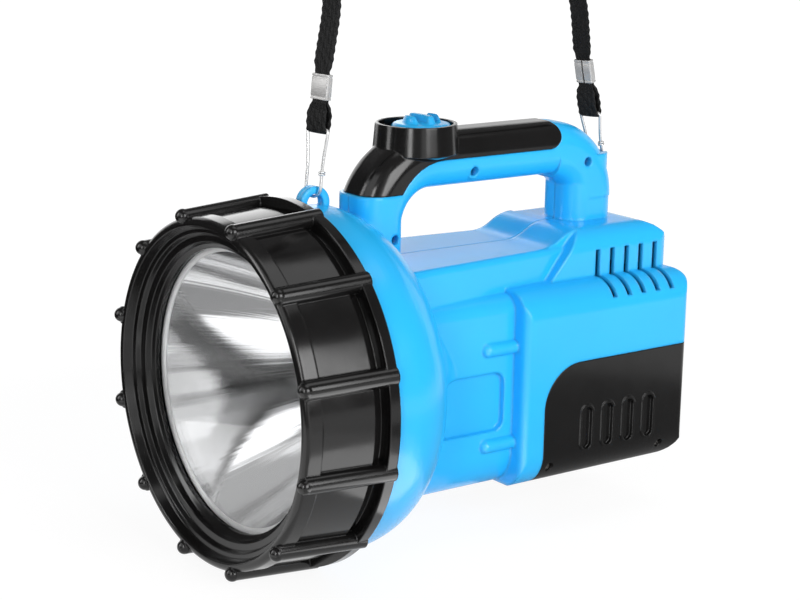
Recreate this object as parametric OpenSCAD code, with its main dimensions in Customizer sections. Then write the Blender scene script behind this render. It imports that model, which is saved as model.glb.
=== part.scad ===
// Handheld rechargeable searchlight: ribbed bezel, mirror reflector, clamshell body with a bridge
// handle and thumb slider, base cover, charge port and a hooked carrying strap.
// Lengths are in millimetres. The lamp looks along -Y, and +Z is up.

/* [Head] */
// How far the circle through the ribs' ball ends lies inside the bell's radius
rib_set = 0.5; // [0:0.1:2]
// How much further out a rib is at its rear end than at its ball
rib_flare = 3.5; // [1:0.5:6]
// Diameter of the ball at the front of a grip rib
rib_ball_d = 7.6; // [6:0.2:9]
// Diameter of a grip rib
rib_d = 9.6; // [8:0.2:11]
// How far the grip ribs' axes lie inside the circle of the balls
rib_sink = 1.34; // [1:0.02:2]
// Number of grip ribs
rib_count = 12; // [8:4:16]
// Length of the bezel behind the ball centres
bezel_l = 49; // [45:0.5:54]
// Height of the ribs' axis over the recessed panels between them
rib_rise = 2; // [1:0.5:3]
// Depth of the recessed panels under the front rim
panel_depth = 1.4; // [0.8:0.2:2.4]
// Width of the raised front rim of the bezel
front_rim_w = 8; // [6:0.5:10]
// Width of the raised rear rim of the bezel
rear_rim_w = 6.5; // [5:0.5:8]
// Height of the rear rim over the recessed panels
rear_rim_rise = 3.8; // [2:0.2:4.6]
// Width of the groove in front of the rear rim
rear_groove_w = 5.5; // [3:0.5:8]
// Depth of that groove under the panels
rear_groove_depth = 3; // [1:0.5:4]
// Width of the bezel's lip over the lens
lens_lip = 4; // [3.8:0.1:6]
// How far the lens's edge lies inside the neck's outer face
lens_set = 6; // [5:0.1:7]
// Thickness of the lens
lens_t = 3; // [2:0.5:4]
// Depth of the lens face behind the ball centres
lens_inset = 14; // [12:0.5:16]
// Thickness of the bezel lip that holds the lens
lip_t = 2.2; // [1.6:0.2:3]
// Thickness of the lens gasket
gasket_t = 1.4; // [1:0.2:2]
// Width of the lens gasket
gasket_w = 3.4; // [2:0.2:3.6]

/* [Reflector and LED] */
// Depth of the reflector bowl
bowl_depth = 94.5; // [86:0.5:96]
// Width of the reflector's bright rim behind the lens
bowl_rim_w = 1.6; // [1.2:0.1:2.4]
// Wall of the reflector
bowl_wall = 2; // [1.5:0.1:2.5]
// Radius of the hole for the LED at the bottom of the bowl
bowl_hole_r = 9; // [7:0.5:10]
// Thickness of the reflector's front flange
flange_t = 2; // [1.5:0.5:3]
// Radius of the boss on the back of the reflector
boss_r = 17; // [15:0.5:20]
// Thickness of the LED board
led_board_t = 1.6; // [1:0.2:2]
// Radius of the LED emitter's dome
led_dome_r = 4; // [3:0.5:5]
// Height of the LED emitter's base
led_base_h = 1.6; // [1:0.2:3]
// Length of the heat sink
sink_l = 24; // [18:1:30]
// Radius of the heat sink over its fins
sink_r = 24; // [20:1:28]
// Number of fins on the heat sink
sink_fins = 16; // [10:1:20]
// Thickness of a heat sink fin
sink_fin_t = 1.6; // [1.2:0.2:2.2]

/* [Bell and body] */
// Wall of the blue shells
shell_wall = 2.6; // [2:0.1:3]
// Step from the bell down to the neck that the bezel fits on
neck_step = 7.5; // [6.5:0.1:8.5]
// Wall of the neck
neck_wall = 3; // [2.5:0.5:4]
// Outer radius of the bell behind the bezel
bell_r = 88.5; // [87:0.5:89]
// Where the bell starts to round in, behind the ball centres
bell_turn_y = 61; // [58:0.5:64]
// Radius of the bell's round shoulder
bell_shoulder_r = 37; // [34:1:40]
// Steepest slope of the bell behind its shoulder, in degrees
bell_slope = 55; // [52:1:58]
// Radius of the hollow curve that runs from the bell to the body
bell_flare_r = 33; // [30:1:36]
// Radius at which the hollow curve ends
bell_end_r = 42; // [38:0.5:43]
// Height of the flat top panel over the lamp axis
panel_z = 57.5; // [55:0.5:60]
// Width of the flat top panel where it leaves the bell
panel_w = 79; // [74:1:82]
// How far each long edge of the panel turns in towards the rear, in degrees
panel_taper = 5.2; // [4:0.2:6]
// Radius of the panel's long edges
panel_edge_r = 3; // [2:0.5:5]
// Width of the body below the panel
body_w = 87; // [84:1:92]
// Height of the body's ledge over the lamp axis
body_ledge_z = 39; // [35:0.5:40]
// Radius of the body's ledge
body_ledge_r = 9; // [6:0.5:12]
// Depth of the body's underside below the lamp axis
body_bottom = 64.2; // [61:0.2:64.4]
// Radius of the body's lower corners
body_bottom_r = 20; // [16:1:24]

/* [Rear box] */
// Where the rear box starts, behind the ball centres
box_front_y = 157; // [153:0.5:160]
// Where the rear box ends, behind the ball centres
box_rear_y = 272; // [268:0.5:276]
// Width of the rear box
box_w = 106; // [102:1:112]
// Height of the box's ledge over the lamp axis
box_ledge_z = 41; // [39:0.5:44]
// Radius of the box's ledge
box_ledge_r = 15.5; // [12:0.5:18]
// Depth of the flat underside below the lamp axis
box_bottom = 65; // [64:0.5:67]
// Radius of the box's lower corners
box_bottom_r = 19; // [16:0.5:21]
// Radius of the upright edges at the front of the box
box_front_edge_r = 5; // [3:0.5:7]
// Radius of the upright edges at the rear of the box
box_rear_edge_r = 5; // [3:0.5:8]
// Radius of the lower edge at the rear of the box
box_heel_r = 18; // [12:0.5:20]
// Height of the hump's top over the lamp axis
hump_z = 66; // [64:0.5:69]
// Width of the hump
hump_w = 73; // [70:1:76]
// Radius of the hump's long edges
hump_edge_r = 12; // [8:0.5:13]
// Radius of the hump's upper rear edge
hump_rear_r = 20; // [14:0.5:24]
// Radius of the hump's upright rear edges
hump_side_r = 10; // [7:0.5:12]
// Length of the S-shaped rise from the panel to the hump's top
hump_rise_l = 28; // [24:1:32]
// Where the hump's sloped front meets the ledge, behind the ball centres
hump_front_y = 186; // [182:0.5:188]
// How far the hump's front leans back
hump_lean = 22; // [16:0.5:26]
// Number of vent slots a side
vent_count = 5; // [3:1:5]
// Distance from vent slot to vent slot
vent_pitch = 10.2; // [9:0.1:10.5]
// Width of a vent slot
vent_w = 3.2; // [2.4:0.2:4]
// Distance of the last vent slot in front of the box's rear
vent_rear = 12.7; // [12:0.1:18]
// Height of the lower end of the vent slots over the lamp axis
vent_low_z = 32; // [30:0.5:35]
// Height of the upper end of the vent slots over the lamp axis
vent_high_z = 55; // [50:0.5:56]

/* [Side recess and pegs] */
// Where the side recess starts, behind the ball centres
recess_front_y = 108; // [104:0.5:112]
// Where the side recess ends, behind the ball centres
recess_rear_y = 151; // [146:0.5:152]
// Height of the recess's lower edge over the lamp axis
recess_low_z = -31; // [-34:0.5:-28]
// Height of the recess's upper edge over the lamp axis
recess_high_z = 0; // [-3:0.5:3]
// Depth of the recess in the body's side
recess_depth = 3; // [2:0.5:4]
// Corner radius of the recess
recess_r = 6; // [4:0.5:8]
// Diameter of the two side pegs
peg_d = 7; // [5:0.5:8]
// Length of a side peg in front of the box
peg_l = 21; // [16:0.5:24]
// Height of the upper peg over the lamp axis
peg_high_z = 12.5; // [10:0.5:16]
// Height of the lower peg over the lamp axis
peg_low_z = -38.5; // [-42:0.5:-37]

/* [Handle] */
// Width of the handle
grip_w = 30; // [28:0.5:34]
// Height of the grip
grip_h = 28; // [26:0.5:30]
// Height of the grip's underside over the lamp axis
grip_z = 92; // [90:0.5:96]
// Edge radius of the handle
grip_edge_r = 11; // [8:0.5:12]
// Wall of the handle
grip_wall = 3; // [2.5:0.5:3.5]
// Front of the front post, behind the ball centres
front_post_y = 82; // [79:0.5:84]
// Depth of the front post
front_post_l = 27.5; // [26:0.5:30]
// Front of the rear post, behind the ball centres
rear_post_y = 218; // [215:0.5:220]
// Rear of the rear post, behind the ball centres
rear_post_end_y = 250.5; // [249:0.5:252]
// Outer radius of the handle's rear bend
rear_bend_r = 42; // [41:0.5:44]
// Inner radius of the handle's front bend
front_bend_r = 17.5; // [15:0.5:20]
// Height of the seam between the grip cover and the grip over the lamp axis
seam_z = 107; // [105:0.5:109]
// Radius of the seam where it turns down to the front post
seam_bend_r = 30; // [26:0.5:32]
// Height of the seam round the front post over the lamp axis
post_seam_z = 91.5; // [90:0.5:93]
// Rear end of the grip cover, behind the ball centres
cover_end_y = 209; // [204:0.5:210]
// Radius of the cover's round rear end
cover_end_r = 8; // [6:0.5:10]
// How far the grip cover stands proud of the grip
cover_proud = 0.6; // [0.4:0.1:1]
// Wall of the grip cover
cover_wall = 2.4; // [2:0.1:2.8]
// Radius of the hood's outer bend over the front post
hood_bend_r = 45; // [43:0.5:47]

/* [Switch] */
// Where the collar's axis lies, behind the ball centres
collar_y = 123.5; // [121:0.5:126]
// Height of the collar's rim over the lamp axis
collar_z = 125; // [124:0.5:128]
// Radius of the collar's rim
collar_r = 21; // [20.5:0.5:23]
// How much wider the collar is at its foot
collar_draft = 1.2; // [0.5:0.1:2]
// Height of the collar
collar_h = 15; // [12:0.5:16]
// Width of the collar's rim
collar_rim = 1.8; // [1.2:0.1:2.4]
// Depth of the slider's well in the collar
well_depth = 6; // [5:0.5:7]
// Radius of the thumb slider
slider_r = 15.4; // [14:0.1:15.4]
// Thickness of the thumb slider's plate
slider_t = 6; // [4:0.2:6.4]
// Travel of the thumb slider
slider_travel = 6.5; // [5:0.1:6.6]
// Number of raised ribs on the slider
slider_ribs = 3; // [2:1:4]
// Width of a raised rib on the slider
slider_rib_w = 4.5; // [3.5:0.5:5]
// Height of a raised rib on the slider
slider_rib_h = 4; // [2:0.5:4.5]
// Width of the slider's stem
stem_w = 5; // [4:0.5:6]
// Length of the slider's stem along the handle
stem_l = 6; // [5:0.5:7]
// Depth that the stem reaches into the slide switch
stem_reach = 2; // [1.5:0.5:3]
// Width of the slide switch
switch_w = 14; // [12:1:16]
// Length of the slide switch
switch_l = 26; // [24:1:28]
// Height of the slide switch
switch_h = 7; // [6:0.5:8]

/* [Base cover] */
// Height of the cover's top edge over the lamp axis
base_top_z = 1; // [-2:0.5:4]
// Front edge of the cover, behind the ball centres
base_front_y = 171; // [168:0.5:172]
// Radius of the cover's front upper corner
base_corner_r = 24; // [20:1:28]
// Wall of the cover
base_wall = 3; // [2.6:0.1:3.4]
// Number of upright slots a side
slot_count = 4; // [3:1:4]
// Distance from slot to slot
slot_pitch = 14.6; // [13:0.2:15]
// Width of an upright slot
slot_w = 6.6; // [5:0.2:8]
// Height of an upright slot
slot_h = 23; // [20:0.5:25]
// Distance of the last upright slot in front of the box's rear
slot_rear = 27.7; // [25:0.1:30]
// Height of the slots' middle over the lamp axis
slot_z = -36; // [-38:0.5:-32]
// Depth of an upright slot
slot_depth = 1.6; // [1:0.2:2]
// Width of the raised rim round a slot
slot_rim_w = 1.5; // [0.8:0.1:1.8]
// Height of the raised rim round a slot
slot_rim_h = 0.6; // [0.4:0.1:1]

/* [Screws] */
// Diameter of a screw's head
head_d = 4.6; // [4:0.2:5]
// Height of a screw's head
head_h = 2; // [1.6:0.2:2.4]
// Diameter of a screw's shank
shank_d = 2.6; // [2:0.2:3]
// Diameter of a screw boss
screw_boss_d = 8; // [7:0.5:9]
// Depth of a handle screw's head under the outer face
handle_screw_sink = 5; // [3:0.5:6]
// Height of the base screws over the lamp axis
base_screw_z = -54; // [-55:0.5:-52]
// Distance of the front base screws behind the cover's front edge
base_screw_front = 6; // [6:0.5:8]
// Distance of the rear base screws in front of the box's rear
base_screw_rear = 17; // [15:0.5:20]
// Length of the bosses inside the base cover's wall
base_boss_l = 5; // [4:0.5:6]
// Thickness of a base boss under the screw's head
base_boss_web = 2.4; // [2:0.2:3]

/* [Battery and driver] */
// Diameter of a battery cell
cell_d = 18.4; // [18:0.2:19]
// Length of a battery cell
cell_l = 65; // [60:1:66]
// Distance from cell to cell
cell_pitch = 20; // [19.6:0.2:21]
// Thickness of a battery holder
holder_t = 8; // [6:0.5:9]
// Depth of the cell sockets in a holder
holder_socket = 6; // [4:0.5:7]
// Gap from the battery pack to the curve of the box's heel
pack_gap = 1; // [0.5:0.1:2]
// Length of the driver board
board_l = 56; // [48:1:60]
// Height of the driver board
board_h = 26; // [22:1:28]
// Thickness of the driver board
board_t = 1.6; // [1.2:0.2:2]
// Distance of the driver board in front of the box's rear
board_rear = 23.5; // [20:0.5:26]
// Height of the bosses under the driver board
board_boss_h = 6; // [4:0.5:8]
// Diameter of the bosses under the driver board
board_boss_d = 6; // [5:0.5:7]

/* [Charge port] */
// Height of the port's middle over the lamp axis
port_z = 22; // [20:0.5:24]
// Width of the port frame
port_w = 26; // [24:0.5:28]
// Height of the port frame
port_h = 22; // [20:0.5:24]
// Width of the frame's flange behind the wall
port_flange = 2.5; // [2:0.5:3]
// Thickness of the frame's flange
port_flange_t = 2; // [1.5:0.5:3]
// Radius of the charge jack's barrel
jack_r = 4; // [3.6:0.1:4.5]
// Radius of the charge jack's socket
jack_bore_r = 2.75; // [2.5:0.05:2.9]
// Radius of the charge jack's centre pin
jack_pin_r = 1; // [0.8:0.1:1.2]
// Side of the charge jack's square housing
jack_side = 12; // [10:0.5:14]
// Length of the charge jack's housing
jack_l = 12; // [10:0.5:14]
// Thickness of the port's flap
flap_t = 2; // [1.6:0.2:2.6]
// Width of the port's flap
flap_w = 22; // [20:0.5:23.5]
// Height of the port's flap below its hinge
flap_h = 18; // [16:0.5:19]
// Radius of the flap's hinge pin
hinge_pin_r = 1; // [0.8:0.1:1.2]
// Radius of the hinge's knuckles
knuckle_r = 2.2; // [2:0.1:2.6]
// Length of the flap's middle knuckle
knuckle_l = 11; // [9:0.5:13]
// Length of each outer knuckle
ear_l = 3; // [2.5:0.5:4]

/* [Strap] */
// Width of the woven strap
strap_w = 10; // [8:0.5:12]
// Thickness of the woven strap
strap_t = 2.4; // [2:0.1:3]
// Wire diameter of the hooks
wire_d = 1.6; // [1.4:0.1:2]
// Inner width of a hook over its bar
hook_w = 11.5; // [11:0.5:14]
// Inner width of a hook at its bend
hook_bend_w = 8; // [7.5:0.5:9]
// Height of a hook from its bend to its bar
hook_h = 31; // [29:0.5:33]
// Height of a webbing loop from the hook's bar to the crimp
loop_h = 14; // [12:0.5:16]
// Thickness of the webbing that is folded into a loop
loop_t = 1.4; // [1.1:0.1:1.6]
// Height of a crimp
crimp_h = 12.5; // [11:0.5:14]
// Sheet thickness of a crimp
crimp_t = 0.5; // [0.4:0.1:0.8]
// Outer radius of the strap eyelets
eyelet_r = 8.5; // [8:0.1:9]
// Hole radius of the front strap eyelet
eyelet_hole_r = 4.8; // [4.4:0.1:5]
// Thickness of the strap eyelets
eyelet_t = 5; // [4:0.5:5.5]
// Where the front eyelet lies, behind the ball centres
eyelet_y = 60.5; // [60:0.5:64]
// Height of the front eyelet's middle over the bell
eyelet_rise = 1.1; // [0.5:0.1:2.5]
// Lean of the strap's front leg towards the rear, in degrees
front_lean = 5; // [3:0.5:7]
// Lean of the strap's rear leg towards the front, in degrees
rear_lean = 12.5; // [10:0.5:14]
// Angle of the rear strap lug on the handle's bend, in degrees
lug_angle = 23; // [20:1:30]
// Radius of the rear strap lug
lug_r = 4.8; // [4.6:0.1:5.4]
// Hole radius of the rear strap lug
lug_hole_r = 2.8; // [2.4:0.1:3]
// Width of the pocket on each side of the rear lug
lug_pocket_w = 5; // [4:0.5:6]
// Radius of the pocket round the rear lug
lug_pocket_r = 8; // [7:0.5:9]

/* [Fits] */
// Clearance of parts that are fitted by hand
fit_gap = 0.2; // [0.1:0.05:0.3]
// Gap round a moving part
move_gap = 0.4; // [0.3:0.05:0.6]
// Radial clearance of the flap on its hinge pin
pin_gap = 0.05; // [0.02:0.01:0.08]

/* [Hidden] */
$fn = 96;
far = 400;
// Oversize of a rounding outline past the faces that it leaves flat
trim = 0.05;
corner_steps = 6;

// Radii of the head, from the bell inwards
rib_circle_r = bell_r - rib_set;
neck_r = bell_r - neck_step;
lens_r = neck_r - lens_set;
opening_r = lens_r - lens_lip;
eyelet_z = bell_r + eyelet_rise;

// Lamp frame: the ball centres lie on Y = 0 and the lamp axis is Z = 0
rib_tilt = atan(rib_flare / bezel_l);
rib_end_r = rib_circle_r - rib_sink + rib_flare;
rib_step = 360 / rib_count;
rib_drop = rib_end_r * cos(rib_step / 2);
rib_lean = sin(rib_tilt) * cos(rib_step / 2);
axis_h = rib_drop + rib_d / 2 * sqrt(1 - rib_lean * rib_lean);
hinge_y = box_rear_y + knuckle_r + move_gap;
rear_end_y = hinge_y + knuckle_r;
mid_y = (rear_end_y - rib_ball_d / 2) / 2;

// Stations along the lamp axis
lens_rear_y = lens_inset + lens_t;
gasket_rear_y = lens_rear_y + gasket_t;
neck_front_y = gasket_rear_y + flange_t;
bowl_front_y = lens_rear_y + fit_gap;
bowl_vertex_y = bowl_front_y + bowl_depth;
bowl_rim_r = lens_r - gasket_w - fit_gap;
bowl_r = bowl_rim_r - bowl_rim_w;
bowl_k = bowl_depth / (bowl_r * bowl_r);
bowl_hole_y = bowl_vertex_y - bowl_k * bowl_hole_r * bowl_hole_r;
board_face_y = bowl_vertex_y + bowl_wall + led_base_h;
sink_front_y = board_face_y + led_board_t;
slope_start_y = bell_turn_y + bell_shoulder_r * sin(bell_slope);
slope_start_r = bell_r - bell_shoulder_r * (1 - cos(bell_slope));
slope_end_r = bell_end_r + bell_flare_r * (1 - cos(bell_slope));
slope_end_y = slope_start_y + (slope_start_r - slope_end_r) / tan(bell_slope);
bell_end_y = slope_end_y + bell_flare_r * sin(bell_slope);

// Handle
grip_top = grip_z + grip_h;
grip_mid = grip_z + grip_h / 2;
rear_bend_y = rear_post_end_y - rear_bend_r;
rear_bend_z = grip_top - rear_bend_r;
front_bend_y = front_post_y + front_post_l + front_bend_r;
front_bend_z = grip_z - front_bend_r;
post_step = 0.3;
collar_foot_z = collar_z - collar_h;
hood_y = front_post_y - cover_proud + hood_bend_r;
hood_z = grip_top + cover_proud - hood_bend_r;
well_z = collar_z - well_depth;
floor_z = well_z - cover_wall;
well_r = collar_r - collar_rim;
slider_y = collar_y + well_r - slider_r - move_gap;
slider_z = well_z + move_gap;
stem_bottom_z = floor_z - stem_reach;

// Screw places as distance behind the ball centres and height over the lamp axis
front_post_mid = front_post_y + front_post_l / 2;
HANDLE_SCREWS = [
    [151, (grip_z + seam_z) / 2],
    [228, 98],
    [front_post_mid + 5, 69]
];
BASE_SCREW_Y = [base_front_y + base_screw_front, box_rear_y - base_screw_rear];

// Strap legs, loops and arch
wire_r = wire_d / 2;
hook_bend_r = hook_bend_w / 2 + wire_r;
// Corner of the hook beside its bar, which stays straight over the webbing's width
hook_corner = max(hook_w / 2 + wire_r - strap_w / 2 - fit_gap, wire_r);
// How far the hook's round bend climbs from its lowest point to the faces of an eyelet
hook_climb = hook_bend_r - sqrt(pow(hook_bend_r, 2) - pow(eyelet_t / 2, 2));
hook_drop = wire_r + hook_climb + fit_gap / 2;
front_hang = [eyelet_y, eyelet_z + eyelet_hole_r - hook_drop];
lug_y = rear_bend_y + rear_bend_r * cos(lug_angle);
lug_z = rear_bend_z + rear_bend_r * sin(lug_angle);
rear_hang = [lug_y, lug_z + lug_hole_r - hook_drop];
crimp_low = hook_h + loop_h;
crimp_high = crimp_low + crimp_h;
// Route of the strap from crimp to crimp: distance behind the ball centres, height over the axis
STRAP_ROUTE = [
    [70, 180], [71, 192], [73.5, 206], [79, 222], [88, 238], [101, 252], [117, 263], [135, 270],
    [153, 271.5], [171, 268.5], [187, 261], [201, 249.5], [212, 235], [220, 218], [224.8, 202],
    [228, 188], [231, 175]
];

// Placing and extruding
module place() translate([0, -mid_y, axis_h]) children();
module along_x(x0, x1) translate([x0, 0, 0]) rotate([90, 0, 90]) linear_extrude(x1 - x0) children();
module along_y(y0, y1) translate([0, y1, 0]) rotate([90, 0, 0]) linear_extrude(y1 - y0) children();
module along_z(z0, z1) translate([0, 0, z0]) linear_extrude(z1 - z0) children();
module revolve() rotate([-90, 0, 0]) rotate_extrude() children();
module both_sides() {
    children();
    mirror([1, 0, 0]) children();
}

// Points of an arc about c
function arc(c, r, a0, a1, n) = [for (k = [0:n]) c + r * [cos(a0 + (a1 - a0) * k / n), sin(a0 + (a1 - a0) * k / n)]];

// Rounded rectangle as a polygon, with its corner radii in the order ++, -+, --, +-
function round_box(u0, u1, v0, v1, r) = concat(
    arc([u1 - r[0], v1 - r[0]], r[0], 0, 90, corner_steps),
    arc([u0 + r[1], v1 - r[1]], r[1], 90, 180, corner_steps),
    arc([u0 + r[2], v0 + r[2]], r[2], 180, 270, corner_steps),
    arc([u1 - r[3], v0 + r[3]], r[3], 270, 360, corner_steps)
);

// Rounded rectangle with true arcs, one radius for its lower and one for its upper corners
module round_slab(u0, u1, v0, v1, low_r, high_r) {
    translate([u0, v0 + low_r])
        square([u1 - u0, v1 - v0 - low_r - high_r]);
    for (side = [0, 1]) {
        translate([side == 0 ? u0 + low_r : u1 - low_r, v0 + low_r])
            circle(low_r);
        translate([side == 0 ? u0 + high_r : u1 - high_r, v1 - high_r])
            circle(high_r);
    }
    translate([u0 + low_r, v0])
        square([u1 - u0 - 2 * low_r, low_r]);
    translate([u0 + high_r, v1 - high_r])
        square([u1 - u0 - 2 * high_r, high_r]);
}

// Round bar with a ball at its start, along +Z
module ball_bar(ball_r, bar_r, l) {
    rotate_extrude()
        intersection() {
            union() {
                circle(ball_r);
                square([bar_r, l]);
            }
            translate([0, -ball_r])
                square([ball_r, l + ball_r]);
        }
}

// Head

// Recessed panel's radius at a distance behind the ball centres
function panel_r(y) = rib_circle_r - rib_rise + rib_flare * y / bezel_l;

module bezel_profile() {
    rim_r = panel_r(0) + panel_depth;
    rim_round = 3;
    groove_y = bezel_l - rear_rim_w - rear_groove_w;
    rear_r = panel_r(bezel_l) + rear_rim_rise;
    bore_r = neck_r + fit_gap;
    seat_r = lens_r + fit_gap;
    lip_y = lens_inset - lip_t;
    polygon(concat(
        arc([rim_r - rim_round, rim_round - 1], rim_round, 0, -120, 8),
        [
            [rim_r - rim_round - 3, 4],
            [opening_r + 8, 4.6],
            [opening_r + 7, 7],
            [opening_r + 3.4, 7.6],
            [opening_r + 2.4, lip_y - 1.2],
            [opening_r, lip_y],
            [opening_r, lens_inset],
            [seat_r, lens_inset],
            [seat_r, lens_rear_y + fit_gap],
            [bore_r, lens_rear_y + fit_gap],
            [bore_r, bezel_l],
            [rear_r - 1, bezel_l],
            [rear_r, bezel_l - 1],
            [rear_r, bezel_l - rear_rim_w],
            [panel_r(bezel_l) - rear_groove_depth, bezel_l - rear_rim_w - 0.6],
            [panel_r(bezel_l) - rear_groove_depth, groove_y + 0.6],
            [panel_r(groove_y), groove_y],
            [panel_r(front_rim_w) , front_rim_w + 1],
            [panel_r(front_rim_w) + panel_depth, front_rim_w]
        ]
    ));
}

// Round grip rib that leans outwards to the rear, and the ball at its front
module bezel_rib() {
    translate([rib_circle_r, 0, 0])
        sphere(rib_ball_d / 2);
    translate([rib_circle_r - rib_sink, 0, 0])
        rotate([0, 0, -rib_tilt])
            rotate([-90, 0, 0])
                cylinder(r = rib_d / 2, h = bezel_l / cos(rib_tilt) - rib_d / 2 * tan(rib_tilt));
}

module bezel_ring() color([0.06, 0.06, 0.065]) place() {
    revolve() bezel_profile();
    difference() {
        for (k = [0:rib_count - 1])
            rotate([0, -rib_step * (k + 0.5), 0])
                bezel_rib();
        revolve()
            square([panel_r(0) - panel_depth, bezel_l + 1]);
    }
}

module lens() color([0.85, 0.92, 0.95, 0.35]) place() {
    revolve()
        translate([0, lens_inset])
            square([lens_r, lens_t]);
}

module lens_gasket() color([0.1, 0.1, 0.1]) place() {
    revolve()
        translate([lens_r - gasket_w, lens_rear_y])
            square([gasket_w, gasket_t]);
}

// Bowl outline: the mirror side is a parabola, the back runs a wall's thickness behind it
function bowl_y(r) = bowl_vertex_y - bowl_k * r * r;
function bowl_slope(r) = 2 * bowl_k * r;
function bowl_back(r) = [r, bowl_y(r)] + bowl_wall / sqrt(1 + pow(bowl_slope(r), 2)) * [bowl_slope(r), 1];
bowl_steps = 24;
BOWL_R = [for (k = [0:bowl_steps]) bowl_r + (bowl_hole_r - bowl_r) * k / bowl_steps];

BOWL_BACK = [
    for (k = [bowl_steps:-1:0])
        let (b = bowl_back(BOWL_R[k]))
            if (b[0] > boss_r + 1 && b[1] > neck_front_y + 1)
                b
];

module reflector() color([0.8, 0.81, 0.83]) place() {
    flange_r = neck_r - fit_gap;
    foot_r = BOWL_BACK[len(BOWL_BACK) - 1][0] + 0.5;
    revolve()
        polygon(concat(
            [for (r = BOWL_R) [r, bowl_y(r)]],
            [
                [bowl_hole_r, board_face_y],
                [boss_r, board_face_y],
                [boss_r, bowl_back(boss_r)[1] + 0.2]
            ],
            BOWL_BACK,
            [
                [foot_r, neck_front_y],
                [flange_r, neck_front_y],
                [flange_r, gasket_rear_y],
                [bowl_rim_r, gasket_rear_y],
                [bowl_rim_r, bowl_front_y]
            ]
        ));
}

module led_board() color([0.92, 0.92, 0.9]) place() {
    revolve()
        translate([0, board_face_y])
            square([boss_r - 1, led_board_t]);
}

module led_emitter() color([0.95, 0.85, 0.3]) place() {
    revolve() {
        translate([0, board_face_y - led_base_h])
            square([led_dome_r + 1.5, led_base_h]);
        translate([0, board_face_y - led_base_h])
            intersection() {
                circle(led_dome_r);
                translate([0, -led_dome_r])
                    square([led_dome_r, led_dome_r + led_base_h / 2]);
            }
    }
}

module heat_sink() color([0.62, 0.63, 0.65]) place() {
    base_t = 4;
    core_r = sink_r * 0.45;
    revolve()
        translate([0, sink_front_y])
            square([boss_r, base_t]);
    along_y(sink_front_y + base_t, sink_front_y + sink_l) {
        circle(core_r);
        for (k = [0:sink_fins - 1])
            rotate(360 / sink_fins * k)
                translate([core_r - 1, -sink_fin_t / 2])
                    square([sink_r - core_r + 1, sink_fin_t]);
    }
}

// Body forms, each drawn at a distance inside the outer face

function bell_outline(inset) = concat(
    arc([bell_r - bell_shoulder_r, bell_turn_y], bell_shoulder_r - inset, 0, bell_slope, 10),
    [for (k = [8:-1:0]) [bell_end_r + bell_flare_r, bell_end_y]
        - (bell_flare_r + inset) * [cos(bell_slope * k / 8), sin(bell_slope * k / 8)]]
);

module bell_solid() {
    revolve() {
        polygon(concat(
            [[0, neck_front_y], [neck_r, neck_front_y], [neck_r, bezel_l], [bell_r, bezel_l]],
            bell_outline(0),
            [[0, bell_end_y]]
        ));
    }
}

module bell_hollow() {
    neck_in = neck_r - neck_wall;
    revolve()
        polygon(concat(
            [
                [0, neck_front_y - 1],
                [neck_in, neck_front_y - 1],
                [neck_in, bezel_l + shell_wall],
                [bell_r - shell_wall, bezel_l + shell_wall + bell_r - shell_wall - neck_in]
            ],
            bell_outline(shell_wall),
            [[0, bell_end_y]]
        ));
}

module body_form(inset, y0) {
    along_y(y0, box_front_y + 10)
        round_slab(
            -body_w / 2 + inset, body_w / 2 - inset, -body_bottom + inset, body_ledge_z - inset,
            body_bottom_r - inset, body_ledge_r - inset
        );
}

// One long side of the panel's block, cut off square on its other side
module panel_side(inset, y0, y1) {
    edge = max(panel_edge_r - inset, 1);
    translate([panel_w / 2, slope_end_y, 0])
        rotate([0, 0, panel_taper])
            along_y(y0, y1) {
                translate([-far, 0])
                    square([far - inset - edge, panel_z - inset]);
                translate([-inset - edge - 1, 0])
                    square([edge + 1, panel_z - inset - edge]);
                translate([-inset - edge, panel_z - inset - edge])
                    circle(edge);
            }
}

// Block under the flat top panel, narrower towards the hump
module panel_form(inset, y0, y1) {
    intersection() {
        panel_side(inset, y0, y1);
        mirror([1, 0, 0]) panel_side(inset, y0, y1);
    }
}

// S-shaped rise from the panel to the hump's top
module panel_rise() {
    rise = hump_z - panel_z;
    bend_r = (hump_rise_l * hump_rise_l + rise * rise) / (4 * rise);
    turn = 2 * atan(rise / hump_rise_l);
    start_y = hump_front_y - 2;
    end_y = start_y + hump_rise_l;
    half_w = panel_w / 2 - panel_edge_r - (start_y - slope_end_y) * tan(panel_taper);
    along_x(-half_w, half_w)
        polygon(concat(
            arc([start_y, panel_z + bend_r - trim], bend_r, 270, 270 + turn, corner_steps),
            arc([end_y, hump_z - bend_r - trim], bend_r, 90 + turn, 90, corner_steps),
            [[end_y, panel_z - 1], [start_y, panel_z - 1]]
        ));
}

// Lower rear box: its cross-section rounds the long edges, and two outlines round its ends
module box_form(inset) {
    intersection() {
        along_y(box_front_y - 1, box_rear_y + 1)
            round_slab(
                -box_w / 2 + inset, box_w / 2 - inset, -box_bottom + inset, box_ledge_z - inset,
                box_bottom_r - inset, box_ledge_r - inset
            );
        along_z(-far, far)
            polygon(round_box(
                -box_w / 2 + inset - trim, box_w / 2 - inset + trim, box_front_y + inset, box_rear_y - inset,
                [for (r = [box_rear_edge_r, box_rear_edge_r, box_front_edge_r, box_front_edge_r]) max(r - inset, 1)]
            ));
        along_x(-far, far)
            polygon(round_box(
                box_front_y + inset - trim, box_rear_y - inset + trim,
                -box_bottom + inset - trim, box_ledge_z - inset + trim,
                [for (r = [box_rear_edge_r, 2, 4, box_heel_r]) max(r - inset, 1)]
            ));
    }
}

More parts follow.
